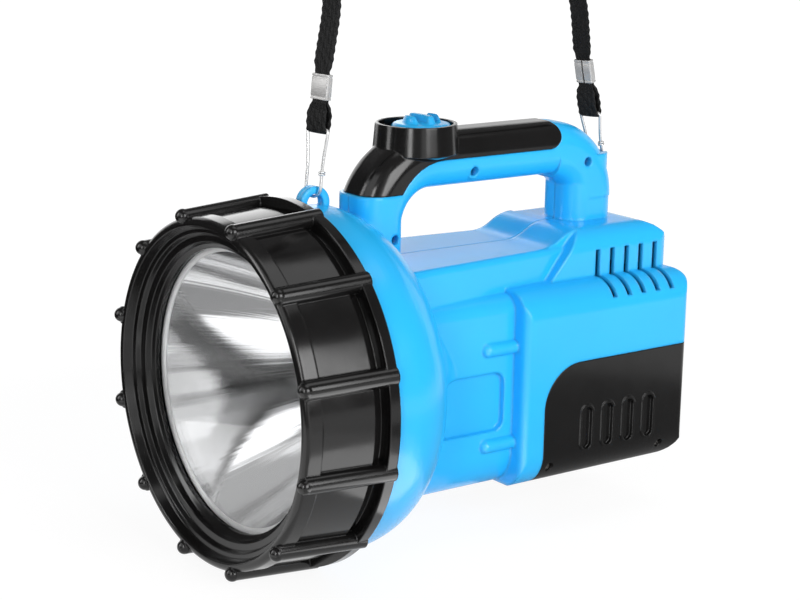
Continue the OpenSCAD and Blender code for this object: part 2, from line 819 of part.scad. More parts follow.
// Hump: round long edges, a front that leans back, and a round rear
module hump_form(inset) {
    top = hump_z - inset;
    front = hump_front_y + inset;
    rear = box_rear_y - inset;
    foot = box_ledge_z - box_ledge_r;
    lean = atan(hump_lean / (hump_z - box_ledge_z));
    crest_r = 16;
    crest_y = front + hump_lean + crest_r * tan(45 - lean / 2);
    intersection() {
        along_y(front - 1, rear + 1)
            round_slab(-hump_w / 2 + inset, hump_w / 2 - inset, foot, top, 1, hump_edge_r - inset);
        along_x(-far, far)
            polygon(concat(
                [[rear, foot - 1]],
                arc([rear - hump_rear_r, top + trim - hump_rear_r], hump_rear_r, 0, 90, corner_steps),
                arc([crest_y, top + trim - crest_r], crest_r, 90, 90 + 90 - lean, 5),
                [[front - (box_ledge_z - foot + 1) * tan(lean) , foot - 1]]
            ));
        along_z(-far, far)
            polygon(round_box(
                -hump_w / 2 + inset - trim, hump_w / 2 - inset + trim, front - hump_lean, rear + trim,
                [for (r = [hump_side_r, hump_side_r, 8, 8]) max(r - inset, 1)]
            ));
    }
}

module body_solid() {
    bell_solid();
    body_form(0, bell_turn_y);
    panel_form(0, bell_turn_y - slope_end_y, hump_front_y + hump_lean - slope_end_y);
    panel_rise();
    box_form(0);
    hump_form(0);
}

module body_hollow() {
    bell_hollow();
    body_form(shell_wall, slope_start_y);
    panel_form(shell_wall, slope_start_y - slope_end_y, hump_front_y + hump_lean - slope_end_y);
    box_form(shell_wall);
    hump_form(shell_wall);
}

// Handle forms

module grip_section(grow) {
    round_slab(
        -grip_w / 2 - grow, grip_w / 2 + grow, grip_z - grow, grip_top + grow, grip_edge_r + grow, grip_edge_r + grow
    );
}

// Quarter bend about the X direction, from angle a over 90 degrees, with its section from r0 to r1
module bend(y, z, r0, r1, half_w, edge_r, a) {
    translate([0, y, z])
        rotate([90, 0, 90])
            rotate([0, 0, a])
                rotate_extrude(angle = 90)
                    round_slab(r0, r1, -half_w, half_w, edge_r, edge_r);
}

module handle_solid(inset) {
    half = grip_w / 2 - inset;
    edge = grip_edge_r - inset;
    low = inset > 0 ? body_ledge_z : panel_z - shell_wall / 2;
    along_y(front_bend_y, rear_bend_y) grip_section(-inset);
    bend(rear_bend_y, rear_bend_z, rear_bend_r - grip_w + inset, rear_bend_r - inset, half, edge, 0);
    bend(front_bend_y, front_bend_z, front_bend_r + inset, front_bend_r + front_post_l - inset, half, edge, 90);
    along_z(low, rear_bend_z + 2)
        round_slab(
            -half + post_step, half - post_step, rear_post_y + inset, rear_post_end_y - inset - post_step, edge, edge
        );
    along_z(rear_bend_z, grip_z + grip_h / 3)
        round_slab(
            -half + post_step, half - post_step, rear_post_y + inset, rear_post_y + grip_w - inset, edge, edge
        );
    along_z(low, grip_z + 2)
        round_slab(
            -half - post_step, half + post_step, front_post_y + inset, front_post_y + front_post_l - inset, edge, edge
        );
}

// Side view of everything that the grip cover replaces
module cover_region(gap) {
    end_y = cover_end_y - cover_end_r;
    start_y = front_post_y - 4;
    turn = [front_bend_y + 4, seam_z - seam_bend_r];
    turn_low = asin((post_seam_z + gap - turn[1]) / (seam_bend_r + gap));
    polygon(concat([
        [start_y, far],
        [start_y, post_seam_z + gap]
    ],
    arc(turn, seam_bend_r + gap, 180 - turn_low, 90, corner_steps),
    [
        [end_y, seam_z + gap],
        [end_y, far]
    ]));
    translate([end_y, seam_z + cover_end_r])
        circle(cover_end_r - gap);
    translate([end_y - 1, seam_z + cover_end_r])
        square([1, far]);
}

// Side view of everything that the base cover replaces
module base_region(gap) {
    round_y = base_front_y + base_corner_r;
    round_z = base_top_z - base_corner_r;
    translate([base_front_y + gap, -far])
        square([far, far + round_z]);
    translate([round_y, round_z - 1])
        square([far, base_corner_r + 1 - gap]);
    translate([round_y, round_z])
        circle(base_corner_r - gap);
}

// Front strap eyelet and the two lugs' outlines, side view
module front_eyelet() {
    along_x(-eyelet_t / 2, eyelet_t / 2)
        translate([eyelet_y, eyelet_z])
            difference() {
                circle(eyelet_r);
                circle(eyelet_hole_r);
            }
}

// Pillar inside the box that takes a base screw, on the +X side, and its foot on the shell's wall
base_boss_x = box_w / 2 - base_wall - base_boss_l;
module base_pillar(y) {
    side = screw_boss_d;
    face = base_boss_x - fit_gap;
    low_z = base_screw_z - shank_d / 2 - 2;
    foot_z = base_top_z + 1;
    foot_h = 6;
    intersection() {
        translate([face - side, y - side / 2, low_z])
            cube([side, side, foot_z + foot_h - low_z]);
        box_form(base_wall + fit_gap);
    }
    translate([face - side, y - side / 2, foot_z])
        cube([box_w / 2 - 1 - face + side, side, foot_h]);
}

// Boss on the right shell's wall under a corner of the driver board
board_x = box_w / 2 - shell_wall - board_boss_h;
board_y = box_rear_y - board_rear - board_l;
board_z = base_top_z + 6;
board_inset = board_boss_d / 2 + 1;
module board_bosses() {
    for (y = [board_y + board_inset, board_y + board_l - board_inset])
        for (z = [board_z + board_inset, board_z + board_h - board_inset])
            translate([-box_w / 2 + shell_wall - 0.5, y, z])
                rotate([0, 90, 0])
                    cylinder(d = board_boss_d, h = board_boss_h + 0.5);
}

// Both halves in one piece, before they are parted on the middle plane
module case_blank() {
    difference() {
        union() {
            body_solid();
            handle_solid(0);
            front_eyelet();
        }
        difference() {
            body_hollow();
            both_sides()
                along_x(body_w / 2 - recess_depth - shell_wall, bell_r)
                    polygon(round_box(
                        recess_front_y - shell_wall, recess_rear_y + shell_wall,
                        recess_low_z - shell_wall, recess_high_z + shell_wall, [for (k = [0:3]) recess_r]
                    ));
        }
        handle_solid(grip_wall);
        both_sides() side_recess();
        along_x(-far, far) cover_region(0);
        along_x(-far, far) base_region(0);
        both_sides() vents();
        port_cutout();
    }
    both_sides() side_pegs();
    both_sides()
        for (y = BASE_SCREW_Y)
            base_pillar(y);
}

module side_recess() {
    along_x(body_w / 2 - recess_depth, body_w)
        polygon(round_box(
            recess_front_y, recess_rear_y, recess_low_z, recess_high_z, [for (k = [0:3]) recess_r]
        ));
}

module side_pegs() {
    for (z = [peg_low_z, peg_high_z])
        translate([body_w / 2, box_front_y - peg_l + peg_d / 2, z])
            rotate([-90, 0, 0])
                ball_bar(peg_d / 2, peg_d / 2, peg_l);
}

module vents() {
    last_y = box_rear_y - vent_rear - vent_w / 2;
    for (k = [0:vent_count - 1])
        translate([hump_w / 2 - 2 * shell_wall, last_y - vent_pitch * k, vent_low_z])
            cube([box_w, vent_w, vent_high_z - vent_low_z]);
}

module port_cutout() {
    translate([-port_w / 2, box_rear_y - 3 * shell_wall, port_z - port_h / 2])
        cube([port_w, 4 * shell_wall, port_h]);
}

// Rear strap lug: pockets on both sides of a tongue with a hole for the hook
module lug_cut() {
    both_sides()
        along_x(eyelet_t / 2, eyelet_t / 2 + lug_pocket_w)
            translate([lug_y, lug_z])
                circle(lug_pocket_r);
    along_x(-eyelet_t, eyelet_t)
        translate([lug_y, lug_z])
            circle(lug_hole_r);
}

// Screw bosses of the handle, with their holes, for one half
module handle_bosses() {
    for (s = HANDLE_SCREWS)
        translate([0, s[0], s[1]])
            rotate([0, 90, 0])
                cylinder(d = screw_boss_d, h = grip_w - grip_wall, center = true);
}

module handle_screw_holes(half_w) {
    sink_x = half_w - handle_screw_sink;
    for (s = HANDLE_SCREWS)
        translate([0, s[0], s[1]])
            rotate([0, 90, 0]) {
                translate([0, 0, sink_x - head_h])
                    cylinder(d = head_d + 2 * fit_gap, h = far);
                translate([0, 0, -half_w + grip_wall])
                    cylinder(d = shank_d + 2 * fit_gap, h = half_w - grip_wall + sink_x);
            }
}

module base_screw_holes(d, x0, x1) {
    for (y = BASE_SCREW_Y)
        translate([0, y, base_screw_z])
            along_x(x0, x1)
                circle(d = d);
}

module case_whole() {
    difference() {
        union() {
            case_blank();
            lug_block();
            difference() {
                handle_bosses();
                along_x(-far, far) cover_region(0);
            }
            board_bosses();
        }
        lug_cut();
        handle_screw_holes(grip_w / 2);
        both_sides() base_screw_holes(shank_d + 2 * fit_gap, 0, box_w);
    }
}

// Solid stretch of the handle's bend that carries the rear lug
module lug_block() {
    intersection() {
        handle_solid(grip_wall / 2);
        along_x(-grip_w / 2, grip_w / 2)
            translate([lug_y, lug_z])
                circle(lug_pocket_r + grip_wall);
    }
    along_x(-eyelet_t / 2, eyelet_t / 2)
        translate([lug_y, lug_z])
            circle(lug_r);
}

module left_shell() color([0.1, 0.6, 0.95]) place() {
    intersection() {
        case_whole();
        translate([0, -far, -far])
            cube([far, 2 * far, 2 * far]);
    }
}

module right_shell() color([0.1, 0.58, 0.92]) place() {
    intersection() {
        case_whole();
        translate([-far, -far, -far])
            cube([far, 2 * far, 2 * far]);
    }
}

// Hood over the front post, bent back to the grip
module hood(inset) {
    bend(
        hood_y, hood_z, hood_bend_r - front_post_l + inset, hood_bend_r - inset,
        grip_w / 2 + cover_proud - inset, grip_edge_r + cover_proud - inset, 90
    );
}

// Collar of the switch, on a foot that narrows to the grip's width
module collar() {
    foot_r = collar_r + collar_draft;
    translate([0, collar_y, collar_foot_z])
        cylinder(r1 = foot_r, r2 = collar_r, h = collar_h);
    translate([0, collar_y, seam_z])
        cylinder(r1 = grip_w / 2, r2 = foot_r, h = collar_foot_z - seam_z);
}

module handle_cover() color([0.05, 0.05, 0.055]) place() {
    difference() {
        union() {
            intersection() {
                union() {
                    hood(0);
                    along_y(hood_y, cover_end_y + 1) grip_section(cover_proud);
                }
                along_x(-far, far) cover_region(fit_gap / 2);
            }
            collar();
        }
        difference() {
            union() {
                hood(cover_wall);
                along_y(hood_y, cover_end_y - cover_end_r) grip_section(cover_proud - cover_wall);
            }
            translate([0, collar_y, floor_z])
                cylinder(r = collar_r, h = far);
        }
        translate([0, collar_y, collar_foot_z])
            cylinder(r = well_r - 1, h = floor_z - collar_foot_z);
        translate([0, collar_y, well_z])
            cylinder(r = well_r, h = well_depth + 1);
        translate([-stem_w / 2 - move_gap, slider_y - stem_l / 2 - slider_travel - move_gap, floor_z - 1])
            cube([stem_w + 2 * move_gap, stem_l + slider_travel + 2 * move_gap, cover_wall + 2]);
        along_x(-far, far) below_cover();
    }
}

// Side view of what lies under the grip cover
module below_cover() {
    difference() {
        translate([-far / 2, 0])
            square([2 * far, seam_z + cover_end_r]);
        cover_region(fit_gap / 2);
    }
}

module switch_slider() color([0.1, 0.6, 0.95]) place() {
    top_z = slider_z + slider_t;
    rib_pitch = slider_rib_w * 1.9;
    translate([0, slider_y, slider_z])
        cylinder(r = slider_r, h = slider_t);
    intersection() {
        translate([0, slider_y, top_z - 1])
            cylinder(r = slider_r - 3.5, h = slider_rib_h + 1);
        for (k = [0:slider_ribs - 1])
            translate([-far / 2, slider_y + (k - (slider_ribs - 1) / 2) * rib_pitch - slider_rib_w / 2, top_z - 1])
                cube([far, slider_rib_w, slider_rib_h + 1]);
    }
    translate([-stem_w / 2, slider_y - stem_l / 2, stem_bottom_z])
        cube([stem_w, stem_l, slider_z - stem_bottom_z + 1]);
}

module slide_switch() color([0.15, 0.15, 0.16]) place() {
    difference() {
        translate([-switch_w / 2, slider_y - slider_travel / 2 - switch_l / 2, floor_z - switch_h])
            cube([switch_w, switch_l, switch_h]);
        translate([-stem_w / 2 - move_gap, slider_y - stem_l / 2 - slider_travel - move_gap, stem_bottom_z - move_gap])
            cube([stem_w + 2 * move_gap, stem_l + slider_travel + 2 * move_gap, switch_h]);
    }
}

// Base cover

module base_slot(grow, depth, proud) {
    half = slot_w / 2 + grow;
    reach = slot_h / 2 - slot_w / 2;
    for (k = [0:slot_count - 1])
        along_x(box_w / 2 - depth, box_w / 2 + proud)
            translate([box_rear_y - slot_rear - slot_pitch * k, slot_z]) {
                translate([0, reach])
                    circle(half);
                translate([0, -reach])
                    circle(half);
                translate([-half, -reach])
                    square([2 * half, 2 * reach]);
            }
}

// Bosses in the base cover that its screws clamp to the pillars, on the +X side
module base_bosses() {
    for (y = BASE_SCREW_Y)
        along_x(base_boss_x, box_w / 2)
            translate([y, base_screw_z])
                circle(d = screw_boss_d + 1);
}

module base_cover() color([0.07, 0.07, 0.075]) place() {
    difference() {
        union() {
            intersection() {
                difference() {
                    box_form(0);
                    difference() {
                        box_form(base_wall);
                        both_sides() base_bosses();
                    }
                }
                along_x(-far, far) base_region(fit_gap / 2);
            }
            both_sides() base_slot(slot_rim_w, 0.5, slot_rim_h);
        }
        both_sides() base_slot(0, slot_depth, 2);
        both_sides() base_screw_holes(head_d + 2 * fit_gap, base_screw_seat, box_w);
        both_sides() base_screw_holes(shank_d + 2 * fit_gap, 0, box_w);
    }
}

// Fasteners

base_screw_seat = base_boss_x + base_boss_web;
base_screw_l = 8;

module screw(l) {
    cylinder(d = head_d, h = head_h);
    translate([0, 0, -l])
        cylinder(d = shank_d, h = l + head_h / 2);
}

module handle_screws() color([0.55, 0.56, 0.58]) place() {
    seat_x = grip_w / 2 - handle_screw_sink - head_h;
    for (s = HANDLE_SCREWS)
        translate([seat_x, s[0], s[1]])
            rotate([0, 90, 0])
                screw(seat_x + grip_w / 2 - grip_wall - 2);
}

module base_screws() color([0.55, 0.56, 0.58]) place() {
    both_sides()
        for (y = BASE_SCREW_Y)
            translate([base_screw_seat, y, base_screw_z])
                rotate([0, 90, 0])
                    screw(base_screw_l);
}

// Battery pack and driver

pack_l = cell_l + 2 * (holder_t - holder_socket);
pack_front_y = box_rear_y - box_heel_r - pack_gap - pack_l;
floor_in_z = max(-box_bottom + base_wall, -body_bottom + shell_wall) + fit_gap / 2;
holder_side = 2 * cell_pitch;
cell_mid_z = floor_in_z + holder_side / 2;
cells_front_y = pack_front_y + holder_t - holder_socket;

module each_cell() {
    for (x = [-1, 1])
        for (z = [-1, 1])
            translate([x * cell_pitch / 2, 0, cell_mid_z + z * cell_pitch / 2])
                children();
}

module battery_cells() color([0.2, 0.5, 0.3]) place() {
    each_cell()
        translate([0, cells_front_y, 0])
            rotate([-90, 0, 0])
                cylinder(d = cell_d, h = cell_l);
}

module battery_holders() color([0.1, 0.1, 0.1]) place() {
    rear_y = cells_front_y + cell_l - holder_socket;
    difference() {
        for (y = [pack_front_y, rear_y])
            translate([-holder_side / 2, y, floor_in_z])
                cube([holder_side, holder_t, holder_side]);
        each_cell()
            translate([0, cells_front_y, 0])
                rotate([-90, 0, 0])
                    cylinder(d = cell_d + 2 * fit_gap, h = cell_l);
    }
}

module driver_board() color([0.05, 0.35, 0.15]) place() {
    part_h = 5;
    translate([-board_x, board_y, board_z])
        cube([board_t, board_l, board_h]);
    for (k = [0:2])
        translate([-board_x + board_t - 0.5, board_y + 10 + 14 * k, board_z + 7])
            cube([part_h, 9, 12]);
}

// Charge port

wall_in_y = box_rear_y - shell_wall;
hinge_z = port_z + port_h / 2 - knuckle_r;

module charge_frame() color([0.08, 0.08, 0.085]) place() {
    half_w = port_w / 2 - fit_gap;
    half_h = port_h / 2 - fit_gap;
    difference() {
        union() {
            translate([-half_w, wall_in_y - port_flange_t, port_z - half_h])
                cube([2 * half_w, shell_wall + port_flange_t, 2 * half_h]);
            translate([-half_w - port_flange, wall_in_y - port_flange_t, port_z - half_h - port_flange])
                cube([2 * (half_w + port_flange), port_flange_t, 2 * (half_h + port_flange)]);
            both_sides()
                along_x(knuckle_l / 2 + fit_gap, knuckle_l / 2 + fit_gap + ear_l) {
                    translate([hinge_y, hinge_z])
                        circle(knuckle_r);
                    translate([box_rear_y - 1, hinge_z - knuckle_r])
                        square([hinge_y - box_rear_y + 1, 2 * knuckle_r]);
                }
        }
        translate([0, wall_in_y - port_flange_t - 1, port_z])
            rotate([-90, 0, 0])
                cylinder(r = jack_r + fit_gap, h = far);
        along_x(-far, far)
            translate([hinge_y, hinge_z])
                circle(hinge_pin_r);
    }
}

module charge_jack() color([0.12, 0.12, 0.13]) place() {
    frame_back = wall_in_y - port_flange_t;
    difference() {
        union() {
            translate([-jack_side / 2, frame_back - jack_l, port_z - jack_side / 2])
                cube([jack_side, jack_l, jack_side]);
            translate([0, frame_back - 1, port_z])
                rotate([-90, 0, 0])
                    cylinder(r = jack_r, h = port_flange_t + shell_wall + 1 - fit_gap);
        }
        translate([0, frame_back - jack_l / 2, port_z])
            rotate([-90, 0, 0])
                difference() {
                    cylinder(r = jack_bore_r, h = far);
                    cylinder(r = jack_pin_r, h = jack_l / 2 + port_flange_t);
                }
    }
}

module charge_flap() color([0.09, 0.09, 0.095]) place() {
    low_z = hinge_z - flap_h;
    difference() {
        union() {
            along_x(-knuckle_l / 2, knuckle_l / 2)
                translate([hinge_y, hinge_z])
                    circle(knuckle_r);
            translate([0, box_rear_y + move_gap, 0])
                rotate([-90, 0, 0])
                    mirror([0, 1, 0])
                        linear_extrude(flap_t)
                            polygon(round_box(
                                -flap_w / 2, flap_w / 2, low_z, hinge_z - knuckle_r - move_gap, [1, 1, 4, 4]
                            ));
            translate([-knuckle_l / 2, box_rear_y + move_gap, hinge_z - knuckle_r - 2 * move_gap])
                cube([knuckle_l, flap_t, knuckle_r + 2 * move_gap]);
        }
        along_x(-far, far)
            translate([hinge_y, hinge_z])
                circle(hinge_pin_r + pin_gap);
    }
}

module flap_pin() color([0.75, 0.76, 0.78]) place() {
    half_l = knuckle_l / 2 + fit_gap + ear_l;
    along_x(-half_l, half_l)
        translate([hinge_y, hinge_z])
            circle(hinge_pin_r);
}

// Strap and hooks

// Frame of a strap leg: its origin where the hook hangs, its Z along the leg
module leg_frame(hang, lean) {
    translate([0, hang[0], hang[1]])
        rotate([-lean, 0, 0])
            children();
}

function unit(v) = v / norm(v);

// Tube or flat band along points in 3-D, with a ring of points about each
function path_dir(p, k, closed) = let (n = len(p))
    closed ? unit(p[(k + 1) % n] - p[(k + n - 1) % n])
           : unit(p[min(k + 1, n - 1)] - p[max(k - 1, 0)]);

module sweep(p, side, half_w, half_t, sides, closed) {
    n = len(p);
    rings = [
        for (k = [0:n - 1])
            let (dir = path_dir(p, k, closed), out = unit(cross(dir, side)))
                for (j = [0:sides - 1])
                    let (a = 360 / sides * (j + 0.5))
                        p[k] + half_w * cos(a) * side + half_t * sin(a) * out
    ];
    last = closed ? n - 1 : n - 2;
    walls = [
        for (k = [0:last])
            for (j = [0:sides - 1])
                let (a = k * sides + j, b = k * sides + (j + 1) % sides)
                    let (c = ((k + 1) % n) * sides + (j + 1) % sides, d = ((k + 1) % n) * sides + j)
                        each [[a, b, c], [a, c, d]]
    ];
    start = [for (j = [sides - 2:-1:1]) [0, j + 1, j]];
    end = [for (j = [1:sides - 2]) (n - 1) * sides * [1, 1, 1] + [0, j, j + 1]];
    polyhedron(rings, closed ? walls : concat(walls, start, end));
}

// Closed wire of a hook: a round bend that hangs in the eyelet, and a straight bar for the webbing
HOOK_WIRE = let (w0 = hook_bend_r, w1 = hook_w / 2 + wire_r, c = hook_corner) concat(
    [for (k = [0:8]) [w0 * cos(180 + 22.5 * k), 0, w0 * (1 + sin(180 + 22.5 * k))]],
    [
        [w0, 0, hook_h * 0.4],
        [w0 + 0.4, 0, hook_h * 0.6],
        [w1, 0, hook_h - c],
        [w1 - c * 0.3, 0, hook_h - c * 0.3],
        [w1 - c, 0, hook_h],
        [0, 0, hook_h],
        [c - w1, 0, hook_h],
        [c * 0.3 - w1, 0, hook_h - c * 0.3],
        [-w1, 0, hook_h - c],
        [-w0 - 0.4, 0, hook_h * 0.6],
        [-w0, 0, hook_h * 0.4]
    ]
);

module wire_hook() {
    sweep(HOOK_WIRE, [0, 1, 0], wire_r, wire_r, 8, true);
}

// Webbing folded round the hook's bar, from the bar up into the crimp
module webbing_loop() {
    bar_r = wire_r + fit_gap / 2;
    top = crimp_low + crimp_h / 2 - fit_gap;
    along_x(-strap_w / 2, strap_w / 2)
        difference() {
            polygon(concat(
                arc([0, hook_h], bar_r + loop_t, 180, 360, 12),
                [[loop_t, crimp_low], [loop_t, top], [-loop_t, top], [-loop_t, crimp_low]]
            ));
            polygon(concat(
                arc([0, hook_h], bar_r, 180, 360, 12),
                [[0, hook_h + loop_h * 0.8]]
            ));
        }
}

module crimp() {
    inner_w = strap_w / 2 + fit_gap / 2;
    inner_t = loop_t + fit_gap / 2;
    translate([0, 0, crimp_low])
        linear_extrude(crimp_h)
            difference() {
                square(2 * [inner_w + crimp_t, inner_t + crimp_t], center = true);
                square(2 * [inner_w, inner_t], center = true);
            }
}

module front_hook() color([0.8, 0.8, 0.82]) place() leg_frame(front_hang, front_lean) wire_hook();
module rear_hook() color([0.8, 0.8, 0.82]) place() leg_frame(rear_hang, -rear_lean) wire_hook();
module front_loop() color([0.05, 0.05, 0.05]) place() leg_frame(front_hang, front_lean) webbing_loop();
module rear_loop() color([0.05, 0.05, 0.05]) place() leg_frame(rear_hang, -rear_lean) webbing_loop();
module front_crimp() color([0.75, 0.75, 0.76]) place() leg_frame(front_hang, front_lean) crimp();
module rear_crimp() color([0.75, 0.75, 0.76]) place() leg_frame(rear_hang, -rear_lean) crimp();

// Point on a strap leg at a height along it
function leg_point(hang, lean, h) = hang + h * [sin(lean), cos(lean)];

module strap_webbing() color([0.04, 0.04, 0.04]) place() {
    foot = crimp_low + crimp_h / 2;
    route = concat(
        [leg_point(front_hang, front_lean, foot), leg_point(front_hang, front_lean, foot + 12)],
        STRAP_ROUTE,
        [leg_point(rear_hang, -rear_lean, foot + 12), leg_point(rear_hang, -rear_lean, foot)]
    );
    sweep([for (q = route) [0, q[0], q[1]]], [1, 0, 0], strap_w / 2, strap_t / 2, 8, false);
}

bezel_ring();
lens();
lens_gasket();
reflector();
led_board();
led_emitter();
heat_sink();
left_shell();
right_shell();
handle_cover();
switch_slider();
slide_switch();
base_cover();
battery_cells();
battery_holders();
driver_board();
charge_frame();
charge_jack();
charge_flap();
flap_pin();
handle_screws();
base_screws();
front_hook();
rear_hook();
front_loop();
rear_loop();
front_crimp();
rear_crimp();
strap_webbing();
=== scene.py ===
"""Looks of a handheld rechargeable searchlight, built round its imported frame.

The solids of the frame keep their places. This script dresses them in moulded plastic, metal and
glass, models the strap with its hooks, the mirror bowl, the thumb slider and the screws as finer
meshes, and sets up a white studio with a camera at the photograph's viewing angle.
"""

import functools
import logging
import math
from dataclasses import dataclass, field
from enum import Enum
from typing import Callable, ClassVar, Iterable, Sequence

import bpy
from bpy.types import ID, Material, Mesh, Node, Object, World
from mathutils import Matrix, Vector


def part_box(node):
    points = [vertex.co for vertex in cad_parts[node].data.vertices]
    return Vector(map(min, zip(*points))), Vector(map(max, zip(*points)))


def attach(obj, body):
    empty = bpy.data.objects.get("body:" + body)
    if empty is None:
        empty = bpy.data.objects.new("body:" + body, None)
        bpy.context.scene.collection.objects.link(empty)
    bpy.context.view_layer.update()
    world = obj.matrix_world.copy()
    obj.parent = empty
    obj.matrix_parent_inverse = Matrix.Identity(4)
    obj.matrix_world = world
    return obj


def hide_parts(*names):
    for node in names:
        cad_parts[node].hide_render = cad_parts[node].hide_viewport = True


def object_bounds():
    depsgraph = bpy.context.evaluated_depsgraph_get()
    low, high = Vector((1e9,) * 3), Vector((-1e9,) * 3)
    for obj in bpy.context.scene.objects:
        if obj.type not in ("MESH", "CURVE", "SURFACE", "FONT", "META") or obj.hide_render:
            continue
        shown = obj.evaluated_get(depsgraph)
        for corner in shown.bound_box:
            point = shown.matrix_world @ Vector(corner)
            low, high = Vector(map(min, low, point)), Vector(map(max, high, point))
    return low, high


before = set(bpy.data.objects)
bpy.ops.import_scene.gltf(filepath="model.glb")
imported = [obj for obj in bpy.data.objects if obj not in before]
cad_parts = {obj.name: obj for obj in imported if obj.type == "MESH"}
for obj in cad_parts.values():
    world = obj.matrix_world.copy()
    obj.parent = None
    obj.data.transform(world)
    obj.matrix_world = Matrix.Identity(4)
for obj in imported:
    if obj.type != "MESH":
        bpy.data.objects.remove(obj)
CAD_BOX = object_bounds()
LENS_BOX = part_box("lens")

LOG = logging.getLogger("searchlight")
MM = 0.001
SOLID_SHARP_DEG = 32
WHITE = (1, 1, 1, 1)
Colour = tuple[float, float, float]
Triple = tuple[float, float, float]
Pair = tuple[float, float]
Socket = str | int


class Body(Enum):
    """The frame's rigid bodies that the finer pieces ride on."""

    LAMP = "lamp"
    SLIDER = "slider"


class Grain(Enum):
    """Kinds of fine relief on a moulded or plated face: octaves, and scale along each axis."""

    PEEL = (2.0, (1, 1, 1))
    BRUSHED = (2.0, (1, 14, 1))
    SPECKLED = (6.0, (1, 1, 1))


@dataclass(frozen=True)
class LampFrame:
    """The lamp's own frame, in millimetres.

    Its Y runs back from the plane of the bezel's ball centres, and its Z up from the lamp axis.
    """

    lens_inset: float = 14.0

    def at(self, x: float, y: float, z: float) -> Vector:
        """Place a point of the lamp's frame in the row frame.

        Args:
            x: Distance to the lamp's left, in millimetres.
            y: Distance behind the ball centres, in millimetres.
            z: Height over the lamp axis, in millimetres.

        Returns:
            The point in the row frame, in metres.
        """
        low, high = LENS_BOX
        axis_z = (low.z + high.z) / 2
        return Vector((x * MM, low.y + (y - self.lens_inset) * MM, axis_z + z * MM))


LAMP = LampFrame()


def arc(radius: float, degrees: Iterable[float]) -> list[Pair]:
    """Return the points of a circle about the origin at angles in degrees."""
    turns = [math.radians(a) for a in degrees]
    return [(radius * math.cos(a), radius * math.sin(a)) for a in turns]


def circle(radius: float, count: int) -> list[Pair]:
    """Return evenly spaced points of a circle about the origin."""
    return arc(radius, (360 * k / count for k in range(count)))


def add_object(name: str, data: ID) -> Object:
    """Add an object with that data to the scene.

    Args:
        name: Name of the object.
        data: Its mesh, lamp or camera.

    Returns:
        The new object.
    """
    item = bpy.data.objects.new(name, data)
    bpy.context.scene.collection.objects.link(item)
    return item


class NodeSketch:
    """Node tree of a material or world, with one shader on its output."""

    noise_span: ClassVar[Pair] = (0.3, 0.7)

    def __init__(
        self, owner: Material | World, shader: str, output: str = "OutputMaterial"
    ) -> None:
        """Start an empty tree.

        Args:
            owner: The material or world.
            shader: Kind of its shader's node.
            output: Kind of its output's node.
        """
        owner.use_nodes = True
        self.tree = owner.node_tree
        self.tree.nodes.clear()
        self.shader = self.add(shader)
        self.link(self.shader, 0, self.add(output), "Surface")

    @staticmethod
    def fill(node: Node, inputs: dict[Socket, object]) -> None:
        """Set values of a node's input sockets, by name or number."""
        for key, value in inputs.items():
            node.inputs[key].default_value = value

    def add(
        self, kind: str, inputs: dict[Socket, object] | None = None, **settings: object
    ) -> Node:
        """Add a node.

        Args:
            kind: Blender's name of the node type, without its ShaderNode.
            inputs: Values for its input sockets, by name or number.
            **settings: Values for its own properties.

        Returns:
            The new node.
        """
        node = self.tree.nodes.new(f"ShaderNode{kind}")
        for key, value in settings.items():
            setattr(node, key, value)
        self.fill(node, inputs or {})
        return node

    def link(self, source: Node, out: Socket, target: Node, into: Socket) -> None:
        """Join an output socket of one node to an input socket of another."""
        self.tree.links.new(source.outputs[out], target.inputs[into])

    def maths(self, operation: str, *values: object) -> Node:
        """Add a maths node.

        Args:
            operation: Name of the operation.
            *values: For each input a number, a (node, socket) pair, or a node for its first socket.

        Returns:
            The new node.
        """
        node = self.add("Math", operation=operation)
        for index, value in enumerate(values):
            if isinstance(value, tuple):
                self.link(*value, node, index)
            elif isinstance(value, Node):
                self.link(value, 0, node, index)
            else:
                node.inputs[index].default_value = value
        return node

    def noise(self, scale: float, detail: float, stretch: Triple = (1, 1, 1)) -> Node:
        """Add a noise texture in the object's own space.

        Args:
            scale: Features in a metre.
            detail: Octaves of the noise.
            stretch: Scale along each axis, for brushed or drawn marks.

        Returns:
            The noise node.
        """
        place = self.add("TexCoord")
        shape = self.add("Mapping", {"Scale": stretch})
        noise = self.add("TexNoise", {"Scale": scale, "Detail": detail})
        self.link(place, "Object", shape, "Vector")
        self.link(shape, "Vector", noise, "Vector")
        return noise

    def tone(self, source: Node, out: Socket, ends: Iterable[Colour], span: Pair) -> None:
        """Feed the shader's colour from a ramp between two colours.

        Args:
            source: Node that drives the ramp.
            out: Its output socket.
            ends: Colours at the ramp's start and end.
            span: Positions of the two stops.
        """
        ramp = self.add("ValToRGB")
        for stop, colour, position in zip(ramp.color_ramp.elements, ends, span):
            stop.position, stop.color = position, (*colour, 1)
        self.link(source, out, ramp, "Fac")
        self.link(ramp, "Color", self.shader, "Base Color")

    def gloss(self, noise: Node, low: float, high: float) -> None:
        """Feed the shader's roughness, between two values, from the middle of a noise.

        Args:
            noise: The noise node.
            low: Roughness at the low end.
            high: Roughness at the high end.
        """
        start, end = self.noise_span
        rough = self.add(
            "MapRange", {"From Min": start, "From Max": end, "To Min": low, "To Max": high}
        )
        self.link(noise, "Fac", rough, "Value")
        self.link(rough, "Result", self.shader, "Roughness")

    def bump(self, source: Node, out: Socket, depth_mm: float) -> Node:
        """Add a relief that a value drives, and feed the shader's normal with it.

        Args:
            source: Node that gives the height.
            out: Its output socket.
            depth_mm: Depth of the relief, in millimetres.

        Returns:
            The bump node.
        """
        bump = self.add("Bump", {"Strength": 1.0, "Distance": depth_mm * MM})
        self.link(source, out, bump, "Height")
        self.link(bump, "Normal", self.shader, "Normal")
        return bump


